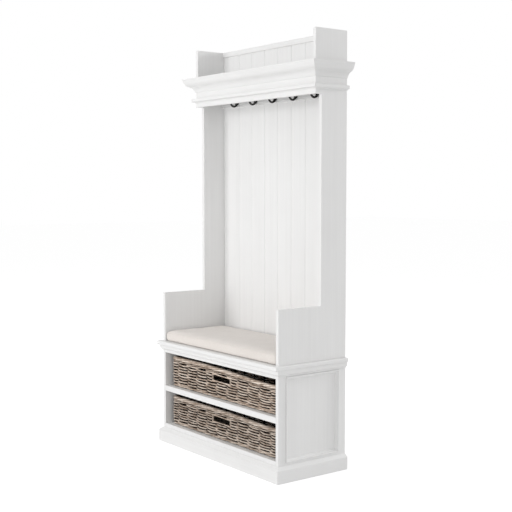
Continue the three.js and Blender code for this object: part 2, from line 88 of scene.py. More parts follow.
class NodeSheet:
    """Adds nodes to one shader or geometry node tree, with links and values given together."""

    def __init__(self, tree: bpy.types.NodeTree) -> None:
        """Args:
            tree: The node tree that the sheet writes to.
        """
        self.tree = tree

    def add(self, kind: str, inputs: dict[Any, Any] | None = None, **settings: Any) -> bpy.types.Node:
        """Adds one node.

        Args:
            kind: The node's type name.
            inputs: Socket name or index to a plain value, or to the socket that feeds it.
            settings: Node properties, such as an operation.

        Returns:
            The new node.
        """
        node = self.tree.nodes.new(kind)
        for name, value in settings.items():
            setattr(node, name, value)
        self.feed(node, inputs or {})
        return node

    def feed(self, node: bpy.types.Node, inputs: dict[Any, Any]) -> None:
        """Sets a node's inputs, each to a plain value or to the socket that feeds it."""
        for key, value in inputs.items():
            if isinstance(value, Socket):
                self.tree.links.new(value, node.inputs[key])
            else:
                node.inputs[key].default_value = value

    def math(self, operation: str, *values: Any) -> Socket:
        """Adds a Math node on plain values or sockets, and returns its result."""
        return self.add("ShaderNodeMath", dict(enumerate(values)), operation=operation).outputs[0]

    def total(self, *shares: tuple[Socket, float]) -> Socket:
        """Adds up sockets, each multiplied by its weight."""
        parts = [self.math("MULTIPLY", value, weight) for value, weight in shares]
        return reduce(lambda a, b: self.math("ADD", a, b), parts)

    def remap(self, value: Socket, low: float, high: float) -> Socket:
        """Stretches a value that runs from 0 to 1 so that it runs from low to high."""
        return self.add("ShaderNodeMapRange", {"Value": value, "To Min": low, "To Max": high}).outputs[0]

    def level(self, value: Socket, low: float, high: float) -> Socket:
        """Squeezes the stretch of a value from low to high into 0 to 1."""
        return self.add("ShaderNodeMapRange", {"Value": value, "From Min": low, "From Max": high}).outputs[0]

    def place(self) -> Socket:
        """Gives the place on the object, in metres."""
        return self.add("ShaderNodeTexCoord").outputs["Object"]

    def attribute(self, name: str) -> Socket:
        """Reads a number that the mesh carries under a name."""
        return self.add("ShaderNodeAttribute", attribute_name=name).outputs["Fac"]

    def stretched(self, vector: Socket, scale: Sequence[float]) -> Socket:
        """Scales a vector along each of its axes."""
        return self.add("ShaderNodeMapping", {"Vector": vector, "Scale": scale}).outputs[0]

    def noise(self, vector: Socket, scale: float, detail: float = 2.0) -> Socket:
        """Adds a noise texture on a vector, and returns its value from 0 to 1."""
        return self.add("ShaderNodeTexNoise", {"Vector": vector, "Scale": scale, "Detail": detail}).outputs[0]

    def blend(self, amount: Socket, low: Colour, high: Colour | Socket) -> Socket:
        """Mixes a colour with a second one by an amount from 0 to 1."""
        top = high if isinstance(high, Socket) else (*high, 1.0)
        return self.add("ShaderNodeMix", {0: amount, 6: (*low, 1.0), 7: top}, data_type="RGBA").outputs[2]

    def relief(self, height: Socket, strength: float, distance: float) -> Socket:
        """Turns a height into a bumped normal."""
        sizes = {"Strength": strength, "Distance": distance, "Height": height}
        return self.add("ShaderNodeBump", sizes).outputs[0]


def new_material(name: str) -> tuple[bpy.types.Material, NodeSheet, bpy.types.Node]:
    """Makes an empty node material.

    Args:
        name: The material's name.

    Returns:
        The material, a sheet on its tree, and its Principled shader.
    """
    material = bpy.data.materials.new(name)
    material.use_nodes = True
    tree = material.node_tree
    return material, NodeSheet(tree), tree.nodes["Principled BSDF"]


class GeometryTree:
    """A Geometry Nodes tree with named inputs, and the modifier that runs it once on a mesh."""

    def __init__(self, name: str, inputs: dict[str, str]) -> None:
        """Args:
            name: The tree's name.
            inputs: Input name to socket type, for each size that the tree takes.
        """
        self.tree = bpy.data.node_groups.new(name, "GeometryNodeTree")
        face = self.tree.interface
        face.new_socket("Geometry", in_out="INPUT", socket_type="NodeSocketGeometry")
        face.new_socket("Geometry", in_out="OUTPUT", socket_type="NodeSocketGeometry")
        self.identifiers = {}
        for label, kind in {**inputs, "Material": "NodeSocketMaterial"}.items():
            socket = face.new_socket(label, in_out="INPUT", socket_type=kind)
            self.identifiers[label] = socket.identifier
        self.sheet = NodeSheet(self.tree)
        self.source = self.sheet.add("NodeGroupInput")
        self.build()

    def build(self) -> None:
        """Adds the tree's nodes; each kind of tree has its own."""
        raise NotImplementedError

    def close(self, geometry: Socket) -> None:
        """Ends the tree: realizes instances, shades smooth, sets the material."""
        real = self.sheet.add("GeometryNodeRealizeInstances", {"Geometry": geometry})
        smooth = self.sheet.add("GeometryNodeSetShadeSmooth", {"Geometry": real.outputs[0]})
        dressed = self.sheet.add(
            "GeometryNodeSetMaterial",
            {"Geometry": smooth.outputs[0], "Material": self.source.outputs["Material"]},
        )
        self.sheet.add("NodeGroupOutput", {"Geometry": dressed.outputs[0]})

    def run(self, name: str, guide: bpy.types.Mesh, **values: Any) -> bpy.types.Object:
        """Runs the tree on a guide mesh.

        Args:
            name: The new piece's name.
            guide: The mesh that the tree starts from; it is removed afterwards.
            values: Input name to value, with underscores for spaces.

        Returns:
            The result as a plain mesh object, with no modifier left on it.
        """
        holder = bpy.data.objects.new(name + "_guide", guide)
        bpy.context.scene.collection.objects.link(holder)
        modifier = holder.modifiers.new("tree", "NODES")
        modifier.node_group = self.tree
        for label, value in values.items():
            modifier[self.identifiers[label.replace("_", " ")]] = value
        mesh = frozen(holder)
        bpy.data.objects.remove(holder)
        bpy.data.meshes.remove(guide)
        return link_mesh(name, mesh)


class StrandTree(GeometryTree):
    """Turns each guide path into a tube whose radius and wobble follow the guide."""

    def __init__(self) -> None:
        """Names the tree and its sizes."""
        sizes = {"Sides": "NodeSocketInt", "Wobble": "NodeSocketFloat", "Wobble Scale": "NodeSocketFloat"}
        super().__init__("strands", {**sizes, "Seed": "NodeSocketFloat"})

    def build(self) -> None:
        """Wobbles the guide, turns it into curves and sweeps a round section along them."""
        sheet = self.sheet
        given = self.source.outputs
        place = sheet.add("GeometryNodeInputPosition").outputs[0]
        noise = sheet.add(
            "ShaderNodeTexNoise",
            {"Vector": place, "W": given["Seed"], "Scale": given["Wobble Scale"], "Detail": 2.0},
            noise_dimensions="4D",
        )
        centred = sheet.add(
            "ShaderNodeVectorMath", {0: noise.outputs["Color"], 1: (0.5, 0.5, 0.5)}, operation="SUBTRACT"
        )
        shift = sheet.add(
            "ShaderNodeVectorMath", {0: centred.outputs[0], "Scale": given["Wobble"]}, operation="SCALE"
        )
        moved = sheet.add(
            "GeometryNodeSetPosition", {"Geometry": given["Geometry"], "Offset": shift.outputs[0]}
        )
        curves = sheet.add("GeometryNodeMeshToCurve", {"Mesh": moved.outputs[0]})
        section = sheet.add("GeometryNodeCurvePrimitiveCircle", {"Resolution": given["Sides"], "Radius": 1.0})
        thick = sheet.add("GeometryNodeInputNamedAttribute", {"Name": "thick"}, data_type="FLOAT")
        tubes = sheet.add(
            "GeometryNodeCurveToMesh",
            {
                "Curve": curves.outputs[0],
                "Profile Curve": section.outputs[0],
                "Scale": thick.outputs[0],
                "Fill Caps": True,
            },
        )
        self.close(tubes.outputs[0])


class ScatterTree(GeometryTree):
    """Puts a copy of one small part at each guide vertex, turned to the vertex's direction."""

    def __init__(self) -> None:
        """Names the tree and its sizes."""
        sizes = {"Part": "NodeSocketObject", "Turn": "NodeSocketFloat", "Seed": "NodeSocketInt"}
        super().__init__("scatter", sizes)

    def build(self) -> None:
        """Stands the part's +Z along the guide's direction, with a random turn about it."""
        sheet = self.sheet
        given = self.source.outputs
        part = sheet.add("GeometryNodeObjectInfo", {"Object": given["Part"]}, transform_space="ORIGINAL")
        facing = sheet.add("GeometryNodeInputNamedAttribute", {"Name": "facing"}, data_type="FLOAT_VECTOR")
        spin = sheet.add("FunctionNodeRandomValue", {2: 0.0, 3: given["Turn"], "Seed": given["Seed"]})
        about = sheet.add("ShaderNodeCombineXYZ", {"Z": spin.outputs[1]})
        spun = sheet.add("FunctionNodeEulerToRotation", {0: about.outputs[0]})
        turned = sheet.add("FunctionNodeAlignRotationToVector", {"Vector": facing.outputs[0]}, axis="Z")
        both = sheet.add(
            "FunctionNodeRotateRotation",
            {0: turned.outputs[0], 1: spun.outputs[0]},
            rotation_space="LOCAL",
        )
        copies = sheet.add(
            "GeometryNodeInstanceOnPoints",
            {"Points": given["Geometry"], "Instance": part.outputs["Geometry"], "Rotation": both.outputs[0]},
        )
        self.close(copies.outputs[0])


# ---------------------------------------------------------------- mesh helpers


def link_mesh(name: str, mesh: bpy.types.Mesh) -> bpy.types.Object:
    """Makes an object of a mesh and puts it in the scene."""
    piece = bpy.data.objects.new(name, mesh)
    bpy.context.scene.collection.objects.link(piece)
    return piece


def frozen(piece: bpy.types.Object) -> bpy.types.Mesh:
    """Gives a piece's mesh with its modifiers applied, as a plain one."""
    graph = bpy.context.evaluated_depsgraph_get()
    return bpy.data.meshes.new_from_object(piece.evaluated_get(graph), depsgraph=graph)


def mesh_from(
    name: str, points: Sequence[Sequence[float]], faces: Iterable[Sequence[int]]
) -> bpy.types.Mesh:
    """Makes a mesh of points and faces, with its normals turned outwards."""
    mesh = bpy.data.meshes.new(name)
    mesh.from_pydata([tuple(p) for p in points], [], [tuple(f) for f in faces])
    tidy = bmesh.new()
    tidy.from_mesh(mesh)
    bmesh.ops.remove_doubles(tidy, verts=tidy.verts, dist=1e-6)
    bmesh.ops.recalc_face_normals(tidy, faces=tidy.faces)
    tidy.to_mesh(mesh)
    tidy.free()
    return mesh


def box_mesh(name: str, low: Sequence[float], high: Sequence[float]) -> bpy.types.Mesh:
    """Makes a plain box between two corners, to be worked into a piece."""
    corners = [(x, y, z) for x in (low[0], high[0]) for y in (low[1], high[1]) for z in (low[2], high[2])]
    sides = [(0, 1, 3, 2), (4, 6, 7, 5), (0, 4, 5, 1), (2, 3, 7, 6), (0, 2, 6, 4), (1, 5, 7, 3)]
    return mesh_from(name, corners, sides)


def hang(
    piece: bpy.types.Object,
    body: str,
    material: bpy.types.Material | None = None,
    replaces: Sequence[str] = (),
) -> bpy.types.Object:
    """Dresses a piece and fixes it to the frame.

    Args:
        piece: The finished piece, with its place in its mesh.
        body: The CAD body that it moves with.
        material: Its finish, unless it has one already.
        replaces: The CAD nodes that it stands for.

    Returns:
        The same piece.
    """
    if material is not None:
        piece.data.materials.clear()
        piece.data.materials.append(material)
    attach(piece, body)
    if replaces:
        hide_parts(*replaces)
    return piece


def smooth_by_area(piece: bpy.types.Object) -> None:
    """Shades a rounded board: its flats stay flat and its edges blend into them."""
    piece.data.shade_smooth()
    piece.data.set_sharp_from_angle(angle=math.radians(50))
    weighted = piece.modifiers.new("flats", "WEIGHTED_NORMAL")
    weighted.keep_sharp = True


def loft(rings: Sequence[Sequence[Point]]) -> tuple[list[Point], list[tuple[int, ...]]]:
    """Joins rings of equal count into a closed skin with flat ends.

    Args:
        rings: The rings in order, each a closed loop of points.

    Returns:
        Points and faces.
    """
    count = len(rings[0])
    points = [p for ring in rings for p in ring]
    faces: list[tuple[int, ...]] = []
    for i in range(len(rings) - 1):
        for j in range(count):
            k = (j + 1) % count
            faces.append((i * count + j, i * count + k, (i + 1) * count + k, (i + 1) * count + j))
    faces.append(tuple(range(count))[::-1])
    faces.append(tuple(range((len(rings) - 1) * count, len(rings) * count)))
    return points, faces


def rounded_corners(outline: Sequence[Plan], radius: float, steps: int = 3) -> list[Plan]:
    """Eases each corner of a closed outline.

    Args:
        outline: The outline's corners.
        radius: How far along each side the easing starts, at most.
        steps: Points in each eased corner, less one.

    Returns:
        The eased outline.
    """
    eased: list[Plan] = []
    count = len(outline)
    for i, corner in enumerate(outline):
        here = Vector(corner)
        before = Vector(outline[i - 1]) - here
        after = Vector(outline[(i + 1) % count]) - here
        if before.angle(after) > math.radians(150):
            eased.append(corner)
            continue
        reach = min(radius, before.length * 0.45, after.length * 0.45)
        start = here + before.normalized() * reach
        end = here + after.normalized() * reach
        for k in range(steps + 1):
            t = k / steps
            spot = start * (1 - t) ** 2 + here * (2 * t * (1 - t)) + end * t**2
            eased.append((spot.x, spot.y))
    return eased


def bend(start: Plan, control: Plan, end: Plan, steps: int = 10) -> list[Plan]:
    """Points of a quadratic curve, without its last one."""
    a, b, c = Vector(start), Vector(control), Vector(end)
    spots = [a * (1 - t) ** 2 + b * (2 * t * (1 - t)) + c * t**2 for t in np.arange(steps) / steps]
    return [(spot.x, spot.y) for spot in spots]


# ---------------------------------------------------------------- finishes


class Grain(Enum):
    """The axis that a board's grain runs along."""

    X = 0
    Y = 1
    Z = 2


@dataclass(frozen=True)
class PaintFinish:
    """White satin paint, brushed over wood so that the grain still shows faintly."""

    colour: Colour = (0.85, 0.85, 0.845)
    shade: Colour = (0.80, 0.796, 0.792)
    roughness: float = 0.42
    across: float = 95.0
    along: float = 2.2

    def material(self, grain: Grain) -> bpy.types.Material:
        """Builds the paint for boards whose grain runs one way.

        Args:
            grain: The axis of the grain.

        Returns:
            The material.
        """
        material, sheet, shader = new_material("white_paint_" + grain.name.lower())
        place = sheet.place()
        scale = [self.across] * 3
        scale[grain.value] = self.along
        drawn = sheet.stretched(place, scale)
        fine = sheet.noise(drawn, 1.0, 4.0)
        broad = sheet.noise(drawn, 0.35)
        cloud = sheet.noise(place, 5.0)
        streaks = sheet.total((fine, 0.5), (broad, 0.5), (cloud, 0.35))
        inputs = {
            "Base Color": sheet.blend(sheet.level(streaks, 0.42, 0.92), self.colour, self.shade),
            "Roughness": sheet.remap(fine, self.roughness - 0.06, self.roughness + 0.1),
            "Normal": sheet.relief(sheet.math("ADD", fine, broad), 0.22, 0.0006),
            "Specular IOR Level": 0.35,
        }
        sheet.feed(shader, inputs)
        return material


@dataclass(frozen=True)
class IronFinish:
    """Black powder coat on cast iron, slightly lighter where it is rubbed."""

    colour: Colour = (0.012, 0.0115, 0.011)
    rubbed: Colour = (0.045, 0.042, 0.04)

    def material(self) -> bpy.types.Material:
        """Builds the coat with its fine orange-peel relief."""
        material, sheet, shader = new_material("black_iron")
        place = sheet.place()
        pebble = sheet.noise(place, 900.0)
        patch = sheet.noise(place, 70.0, 4.0)
        inputs = {
            "Base Color": sheet.blend(sheet.math("POWER", patch, 2.5), self.colour, self.rubbed),
            "Roughness": sheet.remap(patch, 0.36, 0.56),
            "Normal": sheet.relief(pebble, 0.35, 0.0003),
            "Metallic": 0.35,
        }
        sheet.feed(shader, inputs)
        return material


@dataclass(frozen=True)
class LinenFinish:
    """Cream linen in a plain weave, with slubs along both threads. It reads the piece's UV map."""

    colour: Colour = (0.84, 0.795, 0.755)
    slub: Colour = (0.70, 0.645, 0.595)
    thread: float = 0.0011
    slub_along: float = 60.0
    slub_across: float = 900.0

    def material(self) -> bpy.types.Material:
        """Builds the weave from two crossed waves and two stretched noises."""
        material, sheet, shader = new_material("cream_linen")
        cloth = sheet.add("ShaderNodeUVMap", uv_map="cloth").outputs[0]
        split = sheet.add("ShaderNodeSeparateXYZ", {0: cloth}).outputs
        turn = 2 * math.pi / self.thread
        warp, weft = (sheet.math("SINE", sheet.math("MULTIPLY", split[axis], turn)) for axis in (0, 1))
        along, across = self.slub_along, self.slub_across
        threads = [sheet.stretched(cloth, scale) for scale in ((along, across, 1.0), (across, along, 1.0))]
        slubs = sheet.math("MULTIPLY", *[sheet.noise(drawn, 1.0) for drawn in threads])
        tone = sheet.total((slubs, 1.3), (sheet.noise(cloth, 12.0), 0.4))
        height = sheet.total((sheet.math("MULTIPLY", warp, weft), 1.0), (slubs, 2.0))
        inputs = {
            "Base Color": sheet.blend(sheet.level(tone, 0.25, 1.05), self.colour, self.slub),
            "Normal": sheet.relief(height, 0.5, 0.0003),
            "Roughness": 0.92,
            "Sheen Weight": 0.25,
            "Sheen Roughness": 0.6,
            "Specular IOR Level": 0.15,
        }
        sheet.feed(shader, inputs)
        return material


@dataclass(frozen=True)
class RattanFinish:
    """Grey-washed rattan: each strand has its own tone, with streaks and nodes along it.

    Where a strand stands out, its own tone shows; where it goes back between strands and stakes, its colour is
    blended into a near-black painted shade in place of the shadow there.
    """

    # Near-black painted shade for the hollows between strands and behind the stakes.
    painted_shade: Colour = (0.012, 0.008, 0.006)
    dark: Colour = (0.10, 0.07, 0.05)
    middle: Colour = (0.43, 0.325, 0.25)
    pale: Colour = (0.88, 0.77, 0.67)

    def material(self) -> bpy.types.Material:
        """Builds the finish from the strands' own tone and along attributes, and from their lit share, which
        blends in the painted shade.
        """
        material, sheet, shader = new_material("washed_rattan_painted_shade")
        tone, along, painted_lit_share = (sheet.attribute(name) for name in ("tone", "along", "painted_lit_share"))
        place = sheet.place()
        spread = {"X": sheet.math("MULTIPLY", along, 22.0), "Y": sheet.math("MULTIPLY", tone, 91.0)}
        lengths = sheet.noise(sheet.add("ShaderNodeCombineXYZ", spread).outputs[0], 1.0)
        fibre = sheet.noise(place, 330.0, 3.0)
        mottle = sheet.noise(place, 60.0, 3.0)
        level = sheet.total((lengths, 0.57), (tone, 0.168), (mottle, 0.27), (fibre, 0.12))
        ramp = sheet.add("ShaderNodeValToRGB", {0: level})
        stops = ramp.color_ramp.elements
        stops.new(0.48)
        for stop, at, colour in zip(stops, (0.3, 0.48, 0.68), (self.dark, self.middle, self.pale)):
            stop.position, stop.color = at, (*colour, 1.0)
        inputs = {
            # Painted shade: the lit share blends each strand from its own colour into the near-black painted
            # shade, in place of the shadow between strands; the specular falls with it.
            "Base Color": sheet.blend(painted_lit_share, self.painted_shade, ramp.outputs[0]),
            "Roughness": sheet.remap(mottle, 0.45, 0.7),
            "Normal": sheet.relief(fibre, 0.4, 0.0005),
            "Specular IOR Level": sheet.remap(painted_lit_share, 0.02, 0.4),
        }
        sheet.feed(shader, inputs)
        return material


@dataclass
class Palette:
    """Every finish of the piece, made once."""

    paint: dict[Grain, bpy.types.Material] = field(default_factory=dict)

    def __post_init__(self) -> None:
        """Makes the materials."""
        self.paint = {grain: PaintFinish().material(grain) for grain in Grain}
        self.iron = IronFinish().material()
        self.linen = LinenFinish().material()
        self.rattan = RattanFinish().material()


# ---------------------------------------------------------------- joinery


def clean_copy(node: str) -> bpy.types.Mesh:
    """Copies a CAD node's solid into a new mesh, with its loose triangles merged."""
    source = frame["nodes"][node].data
    return mesh_from(node + "_skin", [v.co for v in source.vertices], [p.vertices for p in source.polygons])


def ease_edges(mesh: bpy.types.Mesh, radius: Callable[[bmesh.types.BMEdge], float], steps: int = 2) -> None:
    """Rounds a solid's edges.

    Args:
        mesh: The mesh, changed in place.
        radius: Gives the radius for an edge, or 0 to leave it.
        steps: Faces across each rounded edge.
    """
    work = bmesh.new()
    work.from_mesh(mesh)
    bmesh.ops.dissolve_limit(work, angle_limit=math.radians(1), verts=work.verts, edges=work.edges)
    wanted: dict[float, list[bmesh.types.BMEdge]] = {}
    for edge in work.edges:
        if len(edge.link_faces) == 2 and edge.calc_face_angle() > math.radians(30):
            wanted.setdefault(radius(edge), []).append(edge)
    for size, edges in sorted(wanted.items(), reverse=True):
        live = [edge for edge in edges if edge.is_valid]
        if size > 0 and live:
            bmesh.ops.bevel(
                work, geom=live, offset=size, segments=steps, profile=0.5, affect="EDGES", clamp_overlap=True
            )
    work.to_mesh(mesh)
    work.free()


def dress_board(piece: bpy.types.Object, node: str, material: bpy.types.Material) -> None:
    """Shades a painted board or moulding and puts it in the place of its CAD node."""
    smooth_by_area(piece)
    hang(piece, CARCASS, material, [node])


@dataclass(frozen=True)
class BoardSet:
    """CAD boards that share a grain direction and an edge radius."""

    nodes: tuple[str, ...]
    grain: Grain
    ease: float


@dataclass
class Joinery:
    """The flat boards, panels and frame members, each with its edges eased as if by sandpaper."""

    palette: Palette
    board_ease: float = 1.3 * MM
    joint_ease: float = 0.6 * MM
    plank_ease: float = 0.5 * MM
    nosing: float = 5 * MM
    planks: int = 8

    def sets(self) -> list[BoardSet]:
        """Lists the boards by grain and edge."""
        ends = [f"bench_{side}_" for side in ("left", "right")]
        flat = (
            "bottom_board", "middle_shelf", "seat_front_rail", "frieze_board", "hat_shelf", "hook_rail",
            "back_cap_rail", "base_front_rail", "base_back_rail",
        )
        upright = tuple(end + part for end in ends for part in ("front_stile", "back_stile", "panel"))
        across = tuple(end + part for end in ends for part in ("top_rail", "bottom_rail"))
        behind = ("back_batten_lower", "back_batten_middle", "back_batten_upper", "bench_back_panel")
        return [
            BoardSet(flat, Grain.X, self.board_ease),
            BoardSet(behind, Grain.X, self.joint_ease),
            BoardSet(("upper_side_left", "upper_side_right"), Grain.Z, self.board_ease),
            BoardSet(upright, Grain.Z, self.joint_ease),
            BoardSet(across, Grain.Y, self.joint_ease),
            BoardSet(tuple(f"back_plank_{i + 1}" for i in range(self.planks)), Grain.Z, self.plank_ease),
        ]

    def build(self) -> None:
        """Builds every board and the seat."""
        for group in self.sets():
            for node in group.nodes:
                mesh = clean_copy(node)
                ease_edges(mesh, lambda edge, size=group.ease: size)
                dress_board(link_mesh(node + "_board", mesh), node, self.palette.paint[group.grain])
        self.build_seat()

    def build_seat(self) -> None:
        """Builds the seat board with a full nosing at the front and the ends."""
        low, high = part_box("seat_board")
        mesh = box_mesh("seat_skin", low, high)
        wall = high.y - 1e-4

        def radius(edge: bmesh.types.BMEdge) -> float:
            """Gives the nosing to edges in front of the wall plane."""
            return 0.0 if min(v.co.y for v in edge.verts) > wall else self.nosing

        ease_edges(mesh, radius, steps=6)
        dress_board(link_mesh("seat_board_nosed", mesh), "seat_board", self.palette.paint[Grain.X])


@dataclass
class Moulding:
    """A moulding mitred round the front and both ends of the carcass.

    The profile is (projection from the body, height above its foot) in millimetres, from the foot
    round the front to the top.
    """

    palette: Palette
    label: str
    profile: Sequence[Plan]
    ease: float = 0.8
    gap: float = 0.15 * MM

    def build(self) -> None:
        """Sweeps the front length and its two returns."""
        front_low, front_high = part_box(self.label + "_front")
        _, left_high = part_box(self.label + "_left")
        side_x, face_y, wall_y, foot = -left_high.x, front_high.y, left_high.y, front_low.z
        section = [(p * MM, foot + h * MM) for p, h in rounded_corners(self.profile, self.ease)]
        section = [(max(p, 0.0), z) for p, z in section]
        rings = [[(s * (side_x + p - self.gap), face_y - p, z) for p, z in section] for s in (-1, 1)]
        self.add("front", rings, Grain.X)
        for side, s in (("left", -1), ("right", 1)):
            mitre = [(s * (side_x + p), face_y - p + self.gap, z) for p, z in section]
            wall = [(s * (side_x + p), wall_y, z) for p, z in section]
            self.add(side, [mitre, wall], Grain.Y)

    def add(self, end: str, rings: Sequence[Sequence[Point]], grain: Grain) -> None:
        """Skins one length and dresses it."""
        node = f"{self.label}_{end}"
        piece = link_mesh(node + "_run", mesh_from(node, *loft(rings)))
        dress_board(piece, node, self.palette.paint[grain])


@dataclass
class PanelBead:
    """The mitred bead round a bench end's panel. Its profile is (inset, height above the panel)."""

    palette: Palette
    profile: Sequence[Plan]
    ease: float = 0.35

    def build(self) -> None:
        """Sweeps the bead round both panels."""
        section = [(i * MM, h * MM) for i, h in rounded_corners(self.profile, self.ease)]
        count = len(section)
        for side, s in (("left", -1), ("right", 1)):
            node = f"bench_{side}_bead"
            low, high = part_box(node)
            panel = high.x if s < 0 else low.x
            corners = [
                (low.y, low.z, 1, 1), (high.y, low.z, -1, 1),
                (high.y, high.z, -1, -1), (low.y, high.z, 1, -1),
            ]
            points = [
                (panel + s * h, y + dy * i, z + dz * i) for y, z, dy, dz in corners for i, h in section
            ]
            faces = []
            for k in range(4):
                here, ahead = k * count, (k + 1) % 4 * count
                for n in range(count):
                    m = (n + 1) % count
                    faces.append((here + n, here + m, ahead + m, ahead + n))
            piece = link_mesh(node + "_frame", mesh_from(node, points, faces))
            dress_board(piece, node, self.palette.paint[Grain.Z])


def carcass_mouldings(palette: Palette) -> list[Moulding]:
    """Lists the four mouldings with their profiles."""
    plinth = [(0, 0), (17, 0), (17, 56), (1.5, 70), (0, 70)]
    seat = [(0, 0), (1.5, 0), *bend((1.5, 0.01), (2.5, 9), (12, 11)), (12, 11), (12, 29), (0, 29)]
    crown = [
        (0, 0), *bend((3, 2), (8, 16), (18, 23)), (18, 23), (21, 23),
        *bend((21, 25), (42, 31), (48.5, 58), 14), (48.5, 58), (50, 59.5), (50, 65), (0, 65),
    ]
    bead = [
        (0, 0), *bend((2, 0), (4, 5), (14, 6)), *bend((14, 6), (17, 6.5), (17, 9), 5),
        *bend((17, 18), (17, 21), (13, 22), 5), (13, 22), (0, 22),
    ]
    shapes = {"plinth": plinth, "seat_moulding": seat, "crown": crown, "frieze_bead": bead}
    return [Moulding(palette, label, profile) for label, profile in shapes.items()]


# ---------------------------------------------------------------- small parts


def lathe(name: str, profile: Sequence[Plan], sides: int = 12) -> bpy.types.Mesh:
    """Turns a profile of (radius, height) about +Z into a closed solid."""
    turns = np.arange(sides) * 2 * math.pi / sides
    rings = [[(r * math.cos(a), r * math.sin(a), z) for a in turns] for r, z in profile]
    return mesh_from(name, *loft(rings))


def scatter_guide(name: str, places: Sequence[Point], facing: Sequence[Point]) -> bpy.types.Mesh:
    """Makes loose guide vertices that carry the direction each copy faces."""
    mesh = bpy.data.meshes.new(name)
    mesh.from_pydata([tuple(p) for p in places], [], [])
    layer = mesh.attributes.new("facing", "FLOAT_VECTOR", "POINT")
    layer.data.foreach_set("vector", np.asarray(facing, np.float32).ravel())
    return mesh


@dataclass
class Fasteners:
    """The screws that show: two in each hook plate, and those that hold the back together."""

    palette: Palette
    tree: ScatterTree
    head: float = 3.1 * MM
    rise: float = 1.2 * MM
    panel_screws: int = 9
    panel_side: float = 12 * MM
    panel_foot: float = 25 * MM
    panel_top: float = 10 * MM

    def build(self) -> None:
        """Scatters the heads on the hook plates, the battens and the bench back."""
        raised_shape = [(1, -1), (1, 0.15), (0.8, 0.75), (0.38, 1), (0.34, 0.2), (0.02, 0.2)]
        flush_shape = [(1, -1), (1, 0.1), (0.36, 0.22), (0.32, -0.4), (0.02, -0.4)]
        raised, flush = (
            lathe(name, [(self.head * r, self.rise * z) for r, z in shape])
            for name, shape in (("raised_head", raised_shape), ("flush_head", flush_shape))
        )
        self.add("hook_screws", raised, self.hook_spots(), (0, -1, 0), 3)
        self.add("back_screws", flush, self.batten_spots() + self.panel_spots(), (0, 1, 0), 4)

    @staticmethod
    def hook_spots() -> list[Point]:
        """Lists the two screws of each hook plate."""
        spots = []
        for i in range(CoatHooks.count):
            low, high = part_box(f"coat_hook_{i + 1}")
            for lift in (CoatHooks.screw_up, -CoatHooks.screw_down):
                spot = ((low.x + high.x) / 2, high.y - CoatHooks.plate, CoatHooks.centre_z(high) + lift)
                spots.append(spot)
        return spots

    @staticmethod
    def batten_spots() -> list[Point]:
        """Lists two screws for each back board in each batten, one low and one high."""
        spots = []
        planks = [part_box(f"back_plank_{i + 1}") for i in range(Joinery.planks)]
        for label in ("lower", "middle", "upper"):
            low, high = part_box("back_batten_" + label)
            for plank_low, plank_high in planks:
                for share, lift in ((0.25, 0.3), (0.75, 0.7)):
                    x = plank_low.x + share * (plank_high.x - plank_low.x)
                    spots.append((x, high.y, low.z + lift * (high.z - low.z)))
        return spots

    def panel_spots(self) -> list[Point]:
        """Lists the screws along the foot and the top of the bench's back panel."""
        low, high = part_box("bench_back_panel")
        across = np.linspace(low.x + self.panel_side, high.x - self.panel_side, self.panel_screws)
        heights = (low.z + self.panel_foot, high.z - self.panel_top)
        return [(float(x), high.y, z) for x in across for z in heights]

    def add(self, name: str, part: bpy.types.Mesh, spots: Sequence[Point], facing: Point, seed: int) -> None:
        """Runs the scatter for one kind of head and dresses it."""
        sample = bpy.data.objects.new(name + "_sample", part)
        guide = scatter_guide(name, spots, [facing] * len(spots))
        piece = self.tree.run(
            name, guide, Part=sample, Turn=2 * math.pi, Seed=seed, Material=self.palette.iron
        )
        bpy.data.objects.remove(sample)
        piece.data.set_sharp_from_angle(angle=math.radians(35))
        hang(piece, CARCASS)


def catmull(points: Sequence[Sequence[float]], steps: int) -> np.ndarray:
    """Runs a smooth line through points, with a number of steps between each two."""
    known = np.asarray(points, float)
    known = np.vstack([2 * known[0] - known[1], known, 2 * known[-1] - known[-2]])
    line = []
    for a, b, c, d in zip(known, known[1:], known[2:], known[3:]):
        slope, dip, twist = c - a, 2 * a - 5 * b + 4 * c - d, 3 * b - a - 3 * c + d
        line += [0.5 * (2 * b + slope * t + dip * t**2 + twist * t**3) for t in np.arange(steps) / steps]
    line.append(known[-2])
    return np.array(line)


